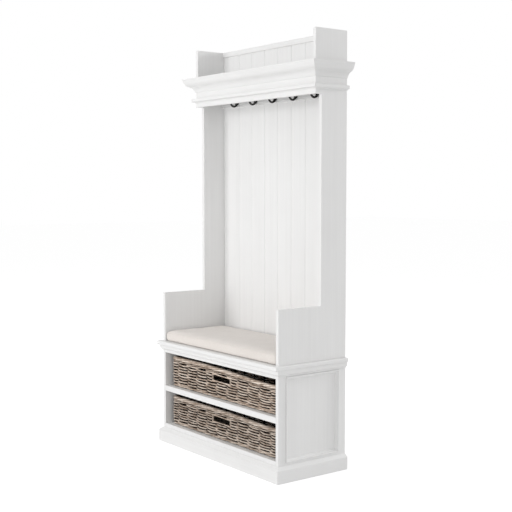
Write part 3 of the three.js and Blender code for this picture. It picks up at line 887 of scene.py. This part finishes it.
@dataclass
class CoatHooks:
    """Five cast hooks: a long plate, an upswept hat arm and a deep coat arm, both ball ended."""

    palette: Palette
    count: int = 5
    plate_width: float = 22 * MM
    plate_height: float = 66 * MM
    rod: float = 4.5 * MM
    ball: float = 7.5 * MM
    voxel: float = 0.9 * MM
    coat_ball: Plan = (47 * MM, -6 * MM)
    hat_ball: Plan = (70 * MM, 32 * MM)

    plate = 4 * MM
    screw_up = 24 * MM
    screw_down = 3 * MM

    @staticmethod
    def centre_z(high: Vector) -> float:
        """Gives the height of the plate's centre, from the top of the hat arm's ball."""
        return high.z - CoatHooks.hat_ball[1] - CoatHooks.ball

    def build(self) -> None:
        """Models one hook, fuses it, and copies it to its places."""
        low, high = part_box("coat_hook_1")
        origin = Vector(((low.x + high.x) / 2, high.y, self.centre_z(high)))
        fused = self.fused(origin)
        for i in range(self.count):
            node = f"coat_hook_{i + 1}"
            spot_low, spot_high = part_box(node)
            mesh = fused.copy()
            mesh.transform(Matrix.Translation(((spot_low.x + spot_high.x) / 2 - origin.x, 0, 0)))
            hang(link_mesh(node + "_cast", mesh), CARCASS, self.palette.iron, [node])
        bpy.data.meshes.remove(fused)

    def fused(self, origin: Vector) -> bpy.types.Mesh:
        """Joins plate, arms and balls into one smooth casting.

        Args:
            origin: The plate's centre on the rail's face.

        Returns:
            The casting's mesh.
        """
        work = bmesh.new()
        half, straight = self.plate_width / 2, (self.plate_height - self.plate_width) / 2
        rings = []
        for inset, rise in ((0, 0), (0, 2.4), (0.5, 3.4), (1.6, 4.0)):
            r = half - inset * MM
            ends = [(a, straight) for a in np.linspace(0, math.pi, 17)]
            ends += [(a, -straight) for a in np.linspace(math.pi, 2 * math.pi, 17)]
            rings.append([(r * math.cos(a), -rise * MM, z + r * math.sin(a)) for a, z in ends])
        self.join(work, *loft(rings))
        coat = [
            (2, -10), (3, -18), (4.5, -26), (9, -34.5), (17, -39.5),
            (25, -40), (33, -36), (39.5, -28), (43.5, -18), (46, -10),
        ]
        hat = [(2, 12), (10, 9.3), (26, 8), (50, 14), (62, 23), (68.5, 30)]
        for path, broad in ((coat, 2.5), (hat, 1.25)):
            line = catmull([(0, -f * MM, z * MM) for f, z in path], 5)
            self.join(work, *self.arm(line, broad))
        for forward, lift in (self.coat_ball, self.hat_ball):
            place = Matrix.Translation((0, -forward, lift))
            bmesh.ops.create_uvsphere(work, u_segments=24, v_segments=16, radius=self.ball, matrix=place)
        raw = bpy.data.meshes.new("hook_parts")
        bmesh.ops.translate(work, verts=work.verts, vec=origin)
        work.to_mesh(raw)
        work.free()
        holder = link_mesh("hook_raw", raw)
        remesh = holder.modifiers.new("fuse", "REMESH")
        remesh.mode, remesh.voxel_size, remesh.use_smooth_shade = "VOXEL", self.voxel, True
        relax = holder.modifiers.new("relax", "SMOOTH")
        relax.factor, relax.iterations = 0.5, 4
        mesh = frozen(holder)
        bpy.data.objects.remove(holder)
        bpy.data.meshes.remove(raw)
        for vertex in mesh.vertices:
            vertex.co.y = min(vertex.co.y, origin.y)
        mesh.shade_smooth()
        return mesh

    @staticmethod
    def join(work: bmesh.types.BMesh, points: Sequence[Point], faces: Iterable[Sequence[int]]) -> None:
        """Adds a closed skin to the working mesh, with its normals outwards."""
        verts = [work.verts.new(p) for p in points]
        made = [work.faces.new([verts[i] for i in face]) for face in faces]
        bmesh.ops.recalc_face_normals(work, faces=made)

    def arm(self, line: np.ndarray, broad: float) -> tuple[list[Point], list[tuple[int, ...]]]:
        """Sweeps an arm along a line in the YZ plane.

        Args:
            line: The arm's centre line, from the plate.
            broad: How much wider than thick it is at the plate; it is round at the ball.

        Returns:
            Points and faces of the closed arm.
        """
        ahead = np.gradient(line, axis=0)
        ahead /= np.linalg.norm(ahead, axis=1)[:, None]
        across = np.array([1.0, 0.0, 0.0])
        share = np.linspace(0, 1, len(line))
        radius = self.rod * (1.08 - 0.16 * share)
        width = radius * (1 + (broad - 1) * (1 - share) ** 1.3)
        turns = np.arange(20) * math.pi / 10
        rings = []
        for spot, way, r, w in zip(line, ahead, radius, width):
            up = np.cross(way, across)
            ring = [spot + w * math.cos(a) * across + r * math.sin(a) * up for a in turns]
            rings.append([tuple(point) for point in ring])
        return loft(rings)


# ---------------------------------------------------------------- cushion


@dataclass
class Cushion:
    """The loose seat cushion: a boxed cover, blown up over its filling by a cloth simulation."""

    palette: Palette
    strands: StrandTree
    scatter: ScatterTree
    voxel: float = 6 * MM
    pressure: float = 4.0
    frames: int = 20
    cap: float = 6.5 * MM
    shrink: float = 2.5 * MM
    edge: float = 5 * MM
    square: float = 4 * MM
    forward: float = 3.5 * MM
    pinch: float = 0.77 * MM
    crown: float = 6 * MM
    ripple: float = 0.5 * MM
    seam_drop: float = 6.5 * MM
    stitch: float = 5 * MM

    def build(self) -> None:
        """Makes the pad, then its seams and stitches, which only exist once the pad has its shape."""
        self.low, self.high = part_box("seat_cushion")
        self.middle = (self.low + self.high) / 2
        pad = self.inflated()
        self.unwrap(pad.data)
        pad.data.shade_smooth()
        hang(pad, CARCASS, self.palette.linen, ["seat_cushion"])
        self.build_seams(pad)

    def inflated(self) -> bpy.types.Object:
        """Runs the cloth simulation.

        Returns:
            The pad, with its final shape in its mesh.
        """
        room = Vector((self.shrink, self.shrink, self.shrink))
        mesh = box_mesh("cushion_start", self.low + room, self.high - room)
        ease_edges(mesh, lambda edge: self.edge, steps=3)
        start = link_mesh("cushion_start", mesh)
        remesh = start.modifiers.new("cells", "REMESH")
        remesh.mode, remesh.voxel_size = "VOXEL", self.voxel
        pad_mesh = frozen(start)
        bpy.data.objects.remove(start)
        rest = np.array([v.co for v in pad_mesh.vertices])
        pad = link_mesh("cushion_pad", pad_mesh)
        cloth = pad.modifiers.new("cloth", "CLOTH")
        cloth.settings.use_pressure = True
        cloth.settings.uniform_pressure_force = self.pressure
        cloth.settings.effector_weights.gravity = 0
        cloth.point_cache.frame_start, cloth.point_cache.frame_end = 1, self.frames
        for step in range(1, self.frames + 1):
            bpy.context.scene.frame_set(step)
        pad.data = frozen(pad)
        bpy.context.scene.frame_set(1)
        pad.modifiers.remove(cloth)
        moved = np.array([v.co for v in pad.data.vertices])
        self.settle(pad.data, rest, moved)
        soft = pad.modifiers.new("fine", "SUBSURF")
        soft.levels = soft.render_levels = 1
        final = frozen(pad)
        pad.modifiers.clear()
        pad.data = final
        return pad

    def settle(self, mesh: bpy.types.Mesh, rest: np.ndarray, moved: np.ndarray) -> None:
        """Caps how far each point went, crowns the top, and rests the pad on the seat.

        Args:
            mesh: The mesh to write to.
            rest: Where the points were.
            moved: Where the simulation put them.
        """
        shift = moved - rest
        length = np.linalg.norm(shift, axis=1)[:, None]
        spots = rest + shift * np.minimum(1.0, self.cap / np.maximum(length, 1e-9))
        half = (np.array(self.high) - np.array(self.low)) / 2
        share = (spots - np.array(self.middle)) / half
        dome = (1 - np.clip(np.abs(share[:, 0]), 0, 1) ** 6) * (1 - np.clip(np.abs(share[:, 1]), 0, 1) ** 4)
        upper = np.clip(share[:, 2], 0, 1)
        spots[:, 2] += self.crown * dome * upper
        edge = self.pinch * np.clip(np.abs(share[:, 2]), 0, 1)
        for axis in (0, 1):
            limit = half[axis] - 0.4 * MM
            grown = (spots[:, axis] - self.middle[axis]) * (1 + self.square / half[axis])
            spots[:, axis] = self.middle[axis] + grown
            pull = edge * np.sign(share[:, axis]) * (np.abs(share[:, axis]) > 0.9)
            off = np.clip(spots[:, axis] - pull - self.middle[axis], -limit, limit)
            spots[:, axis] = self.middle[axis] + off
        spots[:, 1] -= self.forward
        x, y = spots[:, 0], spots[:, 1]
        ripple = self.ripple * np.sin(x * 23 + 2.0 * np.sin(y * 17)) * np.sin(y * 19 + 1.3)
        spots[:, 2] += ripple * upper
        spots[:, 2] = np.maximum(spots[:, 2], self.low.z + 0.1 * MM)
        mesh.vertices.foreach_set("co", spots.astype(np.float32).ravel())
        mesh.update()

    @staticmethod
    def unwrap(mesh: bpy.types.Mesh) -> None:
        """Lays the cloth's threads over each face in metres, along the two axes that it faces least."""
        while mesh.uv_layers:
            mesh.uv_layers.remove(mesh.uv_layers[0])
        layer = mesh.uv_layers.new(name="cloth")
        flat = np.empty((len(mesh.loops), 2), np.float32)
        for face in mesh.polygons:
            facing = max(range(3), key=lambda k: abs(face.normal[k]))
            u, v = ((1, 2), (0, 2), (0, 1))[facing]
            for loop in face.loop_indices:
                spot = mesh.vertices[mesh.loops[loop].vertex_index].co
                flat[loop] = (spot[u], spot[v])
        layer.data.foreach_set("uv", flat.ravel())

    def outline(self, tree: BVHTree, height: float, out: float, gap: float) -> np.ndarray:
        """Walks round the pad at one height, on its surface.

        Args:
            tree: The pad's faces, for ray casts.
            height: The height above the seat.
            out: How far off the surface the walk stays.
            gap: The distance between points.

        Returns:
            The points of the closed walk.
        """
        half = (self.high - self.low) / 2
        walk = Girth(half.x, half.y, 16 * MM, (self.middle.x, self.middle.y))
        count = int(walk.length / gap)
        plan, normal = walk.at(np.arange(count) * walk.length / count, -0.03)
        spots = []
        for (x, y), (nx, ny) in zip(plan, normal):
            hit, _, _, _ = tree.ray_cast(Vector((x, y, height)), Vector((-nx, -ny, 0)))
            if hit is not None:
                spots.append((hit.x + nx * out, hit.y + ny * out, height))
        return np.array(spots)

    def build_seams(self, pad: bpy.types.Object) -> None:
        """Adds the two seams round the boxing and the stitches beside them."""
        tree = BVHTree.FromObject(pad, bpy.context.evaluated_depsgraph_get())
        guide = StrandGuide()
        places: list[Point] = []
        facing: list[Point] = []
        top, bottom = self.high.z - self.seam_drop, self.low.z + self.seam_drop
        for height, side in ((top, -1), (bottom, 1)):
            guide.add(self.outline(tree, height, 0.1 * MM, 7 * MM), 1.0 * MM, 0.5, closed=True)
            line = self.outline(tree, height + side * 3 * MM, 0.05 * MM, self.stitch)
            ahead = np.roll(line, -1, axis=0) - line
            places += [tuple(p) for p in line]
            facing += [tuple(a) for a in ahead / np.linalg.norm(ahead, axis=1)[:, None]]
        linen = self.palette.linen
        seams = self.strands.run(
            "cushion_seams", guide.mesh("seams"), Sides=8, Wobble=0.0003, Wobble_Scale=60.0, Material=linen
        )
        half = [(0.3, -1.4), (0.35, 0), (0.3, 1.4)]
        thread = lathe("thread", [(r * MM, z * MM) for r, z in [(0.02, -1.7), *half, (0.02, 1.7)]], 6)
        sample = bpy.data.objects.new("thread_sample", thread)
        stitches = self.scatter.run(
            "cushion_stitches", scatter_guide("stitches", places, facing),
            Part=sample, Turn=0.0, Seed=1, Material=linen,
        )
        bpy.data.objects.remove(sample)
        for piece in (seams, stitches):
            self.unwrap(piece.data)
            hang(piece, CARCASS)


# ---------------------------------------------------------------- baskets


@dataclass(frozen=True)
class Girth:
    """A rounded rectangle in plan, walked by its length from the front centre to the right."""

    half_width: float
    half_depth: float
    corner: float
    centre: Plan

    @property
    def length(self) -> float:
        """The whole way round."""
        return 4 * (self.half_width + self.half_depth - 2 * self.corner) + 2 * math.pi * self.corner

    def at(self, walk: np.ndarray, inset: Any) -> tuple[np.ndarray, np.ndarray]:
        """Finds plan points.

        Args:
            walk: Distances along the outline; they wrap round.
            inset: How far inside the outline each point lies.

        Returns:
            The points and the outward normals.
        """
        a, b, r = self.half_width - self.corner, self.half_depth - self.corner, self.corner
        arc = math.pi * r / 2
        marks = np.cumsum([0, a, arc, 2 * b, arc, 2 * a, arc, 2 * b, arc, a])
        turns = np.array([-1, -1, 0, 0, 1, 1, 2, 2, 3, 3]) * math.pi / 2
        corners = [(a, -b), (a, b), (-a, b), (-a, -b)]
        middles = np.array([(0, -b), *np.repeat(corners, 2, axis=0), (0, -b)])
        walk = np.mod(walk, self.length)
        angle = np.interp(walk, marks, turns)
        middle = np.stack([np.interp(walk, marks, middles[:, k]) for k in (0, 1)], axis=1)
        normal = np.stack([np.cos(angle), np.sin(angle)], axis=1)
        reach = r - np.broadcast_to(inset, walk.shape)
        return middle + normal * reach[:, None] + np.array(self.centre), normal


@dataclass
class StrandGuide:
    """Collects strand paths for a StrandTree, each point with its radius, tone, lit share against the painted
    shade, and distance.
    """

    points: list[np.ndarray] = field(default_factory=list)
    edges: list[tuple[int, int]] = field(default_factory=list)
    values: dict[str, list[np.ndarray]] = field(default_factory=dict)
    count: int = 0
    shift: float = 7.3

    def add(self, path: np.ndarray, thick: Any, tone: float, closed: bool = False, painted_lit_share: Any = 1.0) -> None:
        """Adds one strand.

        Args:
            path: Its points.
            thick: Its radius, one value or one for each point.
            tone: Its place between dark, 0, and pale, 1.
            closed: Whether it ends where it starts.
            painted_lit_share: How much of the strand's own colour shows, from 0 to 1, the rest being
                near-black painted shade; one value or one for each point.
        """
        n = len(path)
        steps = np.linalg.norm(np.diff(path, axis=0), axis=1)
        self.points.append(path)
        along = np.concatenate([[0.0], np.cumsum(steps)]) + self.shift * tone
        for label, value in (("thick", thick), ("tone", tone), ("painted_lit_share", painted_lit_share), ("along", along)):
            self.values.setdefault(label, []).append(np.broadcast_to(value, n))
        self.edges += [(self.count + i, self.count + i + 1) for i in range(n - 1)]
        if closed:
            self.edges.append((self.count + n - 1, self.count))
        self.count += n

    def mesh(self, name: str) -> bpy.types.Mesh:
        """Makes the guide mesh of vertices, edges and point attributes."""
        mesh = bpy.data.meshes.new(name)
        mesh.from_pydata(np.concatenate(self.points).tolist(), self.edges, [])
        for label, parts in self.values.items():
            layer = mesh.attributes.new(label, "FLOAT", "POINT")
            layer.data.foreach_set("value", np.concatenate(parts).astype(np.float32))
        return mesh


@dataclass
class WovenBasket:
    """A stake-and-strand basket: a randed wall of paired canes between a foot and a rolled border.

    Heights of the rim are (share of the half width, metres above the basket's foot), since the
    soft rim dips to one side.
    """

    palette: Palette
    strands: StrandTree
    label: str
    rim: Sequence[Plan]
    seed: int
    # Scales every strand's lit share; a lower value paints more of the whole basket in the near-black painted
    # shade.
    light: float
    corner: float = 14 * MM
    spread: float = 7.5 * MM
    stakes: int = 28
    rows: int = 16
    cane: float = 1.5 * MM
    stake: float = 3.3 * MM
    swing: float = 7.0 * MM
    inset: float = 9.0 * MM
    foot: float = 12 * MM
    roll: float = 21 * MM
    upset: float = 7 * MM
    taper: float = 0.5 * MM
    advance: float = 3.5 * MM
    clearance: float = 1.5 * MM
    fineness: int = 14
    calm: float = 14 * MM
    part: float = 1.8 * MM
    stake_foot: float = 3 * MM
    hole: float = 70 * MM
    hole_span: Plan = (78 * MM, 108 * MM)
    post: float = 3 * MM
    bindings: int = 9
    hole_rows: tuple[int, ...] = (11, 12, 13)
    edge_rows: tuple[int, ...] = (10, 14)

    def build(self) -> None:
        """Weaves the wall, the floor and the rim."""
        low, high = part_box(self.label + "_basket_border")
        body_low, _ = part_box(self.label + "_basket_body")
        self.base = body_low.z
        self.full = high.z - body_low.z
        self.body = self.label + "_basket"
        centre = ((low.x + high.x) / 2, (low.y + high.y) / 2 - self.advance)
        half_depth = (high.y - low.y) / 2 + self.advance
        self.girth = Girth((high.x - low.x) / 2 + self.spread, half_depth, self.corner, centre)
        self.pitch = self.girth.length / self.stakes
        self.rng = np.random.default_rng(self.seed)
        self.build_wall()
        self.build_floor()
        self.build_rim()

    def place(self, walk: np.ndarray, height: np.ndarray, out: Any) -> np.ndarray:
        """Turns places on the wall into points.

        Args:
            walk: Distance round the basket.
            height: Height above the basket's foot.
            out: Distance outwards from the wall's middle surface.

        Returns:
            The points.
        """
        height = np.broadcast_to(height, walk.shape)
        lean = self.taper * (1 - np.clip(height / self.full, 0, 1))
        plan, _ = self.girth.at(walk, self.inset + lean - out)
        return np.column_stack([plan, height + self.base])

    def rim_at(self, walk: np.ndarray) -> np.ndarray:
        """Gives the height of the rim's top above the foot at each place round the basket."""
        plan, _ = self.girth.at(walk, 0.0)
        share = (plan[:, 0] - self.girth.centre[0]) / self.girth.half_width
        known = np.array(self.rim)
        fine = np.linspace(-1, 1, 81)
        heights = np.interp(fine, known[:, 0], known[:, 1])
        kernel = np.hanning(13)
        padded = np.pad(heights, 6, mode="edge")
        smooth = np.convolve(padded, kernel / kernel.sum(), mode="valid")
        return np.interp(share, fine, smooth)

    def between_stakes(self, values: np.ndarray, walk: np.ndarray) -> np.ndarray:
        """Blends values that are given at the stakes along a walk."""
        turn = np.mod(walk / self.pitch, self.stakes)
        return np.interp(turn, np.arange(self.stakes + 1), np.append(values, values[0]))

    def wave(self, walk: np.ndarray, row: int, swings: np.ndarray) -> np.ndarray:
        """Gives how far out a row lies: in front of one stake and behind the next."""
        turn = math.pi * walk / self.pitch + math.pi * row + 0.3 * np.sin(walk * 31 + 2.4 * row)
        return self.between_stakes(swings, walk) * np.cos(turn)

    def run_strands(
        self, name: str, guide: StrandGuide, sides: int, wobble: Plan, turn: int
    ) -> bpy.types.Object:
        """Makes the piece of a guide's strands.

        Args:
            name: The piece's name after the basket's label.
            guide: Its strands.
            sides: The sides of a strand's section.
            wobble: How far the strands wander, and how often to the metre.
            turn: What this piece adds to the basket's seed.

        Returns:
            The piece.
        """
        return self.strands.run(
            f"{self.label}_{name}", guide.mesh(name), Sides=sides, Wobble=wobble[0], Wobble_Scale=wobble[1],
            Seed=float(self.seed + turn), Material=self.palette.rattan,
        )

    def build_wall(self) -> None:
        """Weaves the rows round the stakes, and leaves the handle hole."""
        guide = StrandGuide()
        for row in range(self.rows):
            self.lay_row(guide, row)
        for stake in range(self.stakes):
            self.set_stake(guide, stake)
        self.wrap_hole(guide)
        piece = self.run_strands("weave", guide, 6, (0.0011, 42.0), 0)
        hang(piece, self.body, None, [self.label + "_basket_body"])

    def lay_row(self, guide: StrandGuide, row: int) -> None:
        """Lays a pair of canes round the stakes.

        Args:
            guide: Takes the canes.
            row: The row's number from the foot. Some rows stop at the handle hole, and the rows above
                and below it lie flat and bend away from it.
        """
        steps = self.stakes * self.fineness
        swings = self.swing * self.rng.normal(1.0, 0.07, self.stakes)
        sag = self.rng.normal(0, 0.45 * MM, self.stakes + 1)[:-1]
        cut = row in self.hole_rows
        if cut:
            walk = np.linspace(self.hole, self.girth.length - self.hole, steps)
            clear = np.minimum(walk, self.girth.length - walk) - self.hole
            fade = np.clip(clear / self.calm, 0.0, 1.0) ** 0.8
        else:
            walk = (np.arange(steps) / steps - 0.5) * self.girth.length
            fade = 1.0
        out = self.wave(walk, row, swings) * fade
        band = self.rim_at(walk) - self.roll - self.upset - self.foot
        height = self.foot + (row + 0.5) * band / self.rows + self.between_stakes(sag, walk)
        if row in self.edge_rows:
            beside = np.minimum(np.mod(walk, self.girth.length), np.mod(-walk, self.girth.length))
            near = np.clip((self.hole + self.calm - beside) / (12 * MM), 0.0, 1.0)
            out = out * (1 - near) + 3.0 * MM * near
            height = height + (1 if row == self.edge_rows[1] else -1) * self.part * near
        crossing = 1 - np.clip(np.abs(out) / self.swing, 0, 1)
        # Painted shade: each cane fades towards the near-black painted shade where it passes behind a stake,
        # in place of the shadow there.
        painted_lit_share = self.light * np.clip(0.72 + 1.5 * out / self.swing, 0.0, 1.0)
        for pair in (-1, 1):
            lift = pair * (self.cane - 0.15 * MM * crossing)
            tone = float(self.rng.uniform())
            path = self.place(walk, height + lift, out)
            guide.add(path, self.cane * (1 - 0.02 * crossing), tone, not cut, painted_lit_share)

    def set_stake(self, guide: StrandGuide, stake: int) -> None:
        """Stands one stake; the one at the handle hole is in two lengths."""
        at = stake * self.pitch
        top = float(self.rim_at(np.array([at]))[0]) - 0.5 * self.roll
        spans = [(self.stake_foot, self.hole_span[0]), (self.hole_span[1], top)]
        for start, end in spans if stake == 0 else [(self.stake_foot, top)]:
            height = np.linspace(start, end, max(3, int((end - start) / (6 * MM))))
            sway = self.rng.normal(0, 1.2 * MM)
            walk = at + sway * np.sin(height / self.full * math.pi)
            # Painted shade: the stakes are drawn wholly in the near-black painted shade.
            guide.add(self.place(walk, height, 0.0), self.stake, float(self.rng.uniform()), painted_lit_share=0.0)

    def wrap_hole(self, guide: StrandGuide) -> None:
        """Adds a bound post at each side of the handle hole."""
        low, high = self.hole_span
        height = np.linspace(low - 2 * MM, high + 1 * MM, 12)
        turns = np.linspace(0, self.bindings * 2 * math.pi, self.bindings * 10)
        for side in (-1, 1):
            at = np.full(len(height), side * self.hole)
            # Painted shade: the posts keep 0.3 of their own colour and the bindings 0.65, the rest being
            # near-black painted shade.
            guide.add(self.place(at, height, 0.0), self.post, 0.7, painted_lit_share=0.3)
            winding = np.interp(turns, [0, turns[-1]], [low + 2 * MM, high - 2 * MM])
            reach = self.post + 1.2 * MM
            walk = side * self.hole + reach * np.sin(turns)
            guide.add(self.place(walk, winding, reach * np.cos(turns)), 1.5 * MM, 0.5, painted_lit_share=0.65)

    def build_floor(self) -> None:
        """Weaves a flat floor of canes across ribs."""
        guide = StrandGuide()
        half_x = self.girth.half_width - self.inset - self.taper - 5 * MM
        half_y = self.girth.half_depth - self.inset - self.taper - 5 * MM
        cx, cy = self.girth.centre
        ribs = np.linspace(-half_x + 0.03, half_x - 0.03, 13)
        gap = ribs[1] - ribs[0]
        x = np.linspace(-half_x, half_x, 105)
        middle = self.base + 5.2 * MM
        for row, y in enumerate(np.linspace(-half_y, half_y, 42)):
            reach = half_x if abs(y) < half_y - 0.025 else half_x - 0.012
            line = x * reach / half_x
            wave = 2.4 * MM * np.cos(math.pi * (line - ribs[0]) / gap + math.pi * row)
            path = np.column_stack([cx + line, np.full(len(x), cy + y), middle + wave])
            # Painted shade: the floor's canes keep only 0.2 of their own colour, the rest being near-black
            # painted shade.
            guide.add(path, 2.3 * MM, float(self.rng.uniform(0.2, 0.8)), painted_lit_share=0.2)
        for rib in ribs:
            y = np.linspace(-half_y, half_y, 12)
            path = np.column_stack([np.full(12, cx + rib), cy + y, np.full(12, middle)])
            # Painted shade: the ribs keep only 0.2 of their own colour, the rest being near-black painted
            # shade.
            guide.add(path, 2.0 * MM, 0.5, painted_lit_share=0.2)
        piece = self.run_strands("floor_weave", guide, 6, (0.0006, 30.0), 5)
        hang(piece, self.body)

    def twist(
        self, guide: StrandGuide, strands: int, turns: int, middle: np.ndarray, size: Plan, thick: float
    ) -> None:
        """Lays strands round one another all the way round the basket.

        Args:
            guide: Takes the strands.
            strands: How many.
            turns: Whole turns of each strand on its way round.
            middle: Height of the twist's centre at each step.
            size: How far a strand goes outwards and upwards from the centre.
            thick: The strands' radius.
        """
        steps = len(middle)
        walk = (np.arange(steps) / steps - 0.5) * self.girth.length
        for k in range(strands):
            angle = 2 * math.pi * (turns * np.arange(steps) / steps + k / strands)
            sizes = 1 + 0.05 * np.sin(walk * 9 + self.rng.uniform(0, 6))
            path = self.place(walk, middle + size[1] * np.sin(angle), size[0] * np.cos(angle))
            # Painted shade: each strand fades towards the near-black painted shade as it turns to the back of
            # the twist.
            painted_lit_share = self.light * np.clip(0.42 + 0.6 * np.cos(angle), 0.0, 1.0)
            guide.add(path, thick * sizes, float(self.rng.uniform(0.1, 0.9)), True, painted_lit_share)

    def build_rim(self) -> None:
        """Twists the foot, the waling and the rolled border."""
        guide = StrandGuide()
        steps = 420
        walk = (np.arange(steps) / steps - 0.5) * self.girth.length
        top = self.rim_at(walk)
        foot = np.full(steps, 0.5 * self.foot + self.clearance)
        self.twist(guide, 3, 11, foot, (4.0 * MM, 2.8 * MM), 3.3 * MM)
        self.twist(guide, 2, 14, top - self.roll - 0.5 * self.upset, (3.6 * MM, 1.6 * MM), 2.2 * MM)
        roll = top - 0.5 * self.roll
        self.twist(guide, 5, 8, roll, (5.2 * MM, 6.6 * MM), 3.8 * MM)
        # Painted shade: the core under the roll is drawn wholly in the near-black painted shade.
        guide.add(self.place(walk, roll, 0.0), 4.2 * MM, 0.1, True, 0.0)
        piece = self.run_strands("rim", guide, 10, (0.0016, 30.0), 9)
        hang(piece, self.body, None, [self.label + "_basket_border"])


# ---------------------------------------------------------------- studio


@dataclass
class Studio:
    """White surroundings, four soft lamps and the camera."""

    eye: Point = (3.6134, -2.6798, 1.2167)
    tilt: float = 86.23
    turn: float = 52.92
    lens: float = 69.29
    fill: float = 0.585
    floor_half: float = 30.0
    lamps: tuple[tuple[Point, float, float], ...] = (
        ((-0.9, -4.6, 1.7), 2.6, 97.0),
        ((1.5, 4.2, 2.6), 1.0, 66.0),
        ((4.0, -1.2, 0.8), 1.0, 14.0),
        ((0.3, -1.2, 5.0), 2.4, 12.0),
    )

    def build(self) -> None:
        """Makes the world, the floor, the lamps and the camera."""
        self.build_world()
        self.build_floor()
        self.build_lamps()
        self.build_camera()
        bpy.context.scene.view_settings.view_transform = "Standard"

    @staticmethod
    def seen_directly(sheet: NodeSheet) -> Socket:
        """Gives 1 for camera, glossy and transmission rays, and 0 for the light that fills the scene."""
        rays = sheet.add("ShaderNodeLightPath").outputs
        either = sheet.math("MAXIMUM", rays["Is Camera Ray"], rays["Is Glossy Ray"])
        return sheet.math("MAXIMUM", either, rays["Is Transmission Ray"])

    def build_world(self) -> None:
        """Lights the scene evenly, and shows white behind it."""
        world = bpy.data.worlds.new("white_room")
        world.use_nodes = True
        bpy.context.scene.world = world
        sheet = NodeSheet(world.node_tree)
        strength = sheet.remap(self.seen_directly(sheet), self.fill, 1.0)
        sheet.feed(world.node_tree.nodes["Background"], {"Color": (1.0, 1.0, 1.0, 1.0), "Strength": strength})

    def build_floor(self) -> None:
        """Lays a pale floor that is seen nearly white and keeps the object's shadow."""
        material, sheet, shader = new_material("white_floor")
        sheet.feed(shader, {"Base Color": (0.8, 0.8, 0.8, 1.0), "Roughness": 0.9})
        grain = sheet.noise(sheet.place(), 8.0)
        lit = sheet.add(
            "ShaderNodeBsdfDiffuse", {"Color": (0.5, 0.5, 0.5, 1.0), "Roughness": sheet.remap(grain, 0.1, 0.3)}
        )
        glow = sheet.add("ShaderNodeEmission", {"Color": (1.0, 1.0, 1.0, 1.0), "Strength": 0.7})
        shown = sheet.add("ShaderNodeAddShader", {0: lit.outputs[0], 1: glow.outputs[0]})
        sides = {0: self.seen_directly(sheet), 1: shader.outputs[0], 2: shown.outputs[0]}
        mix = sheet.add("ShaderNodeMixShader", sides)
        end = next(node for node in sheet.tree.nodes if node.type == "OUTPUT_MATERIAL")
        sheet.feed(end, {"Surface": mix.outputs[0]})
        size = self.floor_half
        corners = [(-size, -size, 0), (size, -size, 0), (size, size, 0), (-size, size, 0)]
        mesh = bpy.data.meshes.new("floor")
        mesh.from_pydata(corners, [], [(0, 1, 2, 3)])
        floor = link_mesh("floor", mesh)
        floor.data.materials.append(material)

    def build_lamps(self) -> None:
        """Hangs the soft lamps: in front, behind, on the right and overhead."""
        for place, size, power in self.lamps:
            data = bpy.data.lights.new("softbox", "AREA")
            data.shape, data.size, data.energy = "SQUARE", size, power
            lamp = bpy.data.objects.new("softbox", data)
            lamp.location = place
            lamp.rotation_euler = (Vector((0, 0, 0.9)) - lamp.location).to_track_quat("-Z", "Y").to_euler()
            bpy.context.scene.collection.objects.link(lamp)

    def build_camera(self) -> None:
        """Sets the camera to the right of the front, at chest height."""
        data = bpy.data.cameras.new("camera")
        data.lens, data.sensor_width = self.lens, 36.0
        camera = bpy.data.objects.new("camera", data)
        camera.location = self.eye
        camera.rotation_euler = (math.radians(self.tilt), 0, math.radians(self.turn))
        bpy.context.scene.collection.objects.link(camera)
        bpy.context.scene.camera = camera


def main() -> None:
    """Builds every sub-assembly in order."""
    logging.basicConfig(level=logging.INFO, format="%(message)s")
    palette = Palette()
    strands, scatter = StrandTree(), ScatterTree()
    bead = [
        (0, 0), (0, 12.4),
        *bend((0, 12.6), (0.4, 15.6), (3.6, 15.6), 5), *bend((3.7, 15.6), (6.2, 15.4), (6.5, 11.5), 4),
        (7.2, 10.3), *bend((7.4, 10.2), (11.5, 9.2), (14.6, 1.2), 6),
        (14.6, 1.2), (15, 0.3), (17, 0.3), (17, 0),
    ]
    upper_rim = [(-1, 0.146), (-0.4, 0.1455), (0, 0.142), (0.5, 0.133), (0.88, 0.126), (1, 0.131)]
    lower_rim = [(-1, 0.139), (-0.2, 0.138), (0.25, 0.1375), (0.5, 0.1345), (0.88, 0.1285), (1, 0.134)]
    builders = [
        Joinery(palette),
        *carcass_mouldings(palette),
        PanelBead(palette, bead),
        CoatHooks(palette),
        Fasteners(palette, scatter),
        Cushion(palette, strands, scatter),
        WovenBasket(palette, strands, "upper", upper_rim, 11, 1.0),
        WovenBasket(palette, strands, "lower", lower_rim, 23, 0.84),
        Studio(),
    ]
    for builder in builders:
        before = set(bpy.context.scene.objects)
        builder.build()
        made = [o for o in bpy.context.scene.objects if o not in before and o.type == "MESH"]
        for piece in made:
            triangles = sum(len(face.vertices) - 2 for face in piece.data.polygons)
            log.info("%s: %s, %d triangles", type(builder).__name__, piece.name, triangles)


if __name__ == "__main__":
    main()
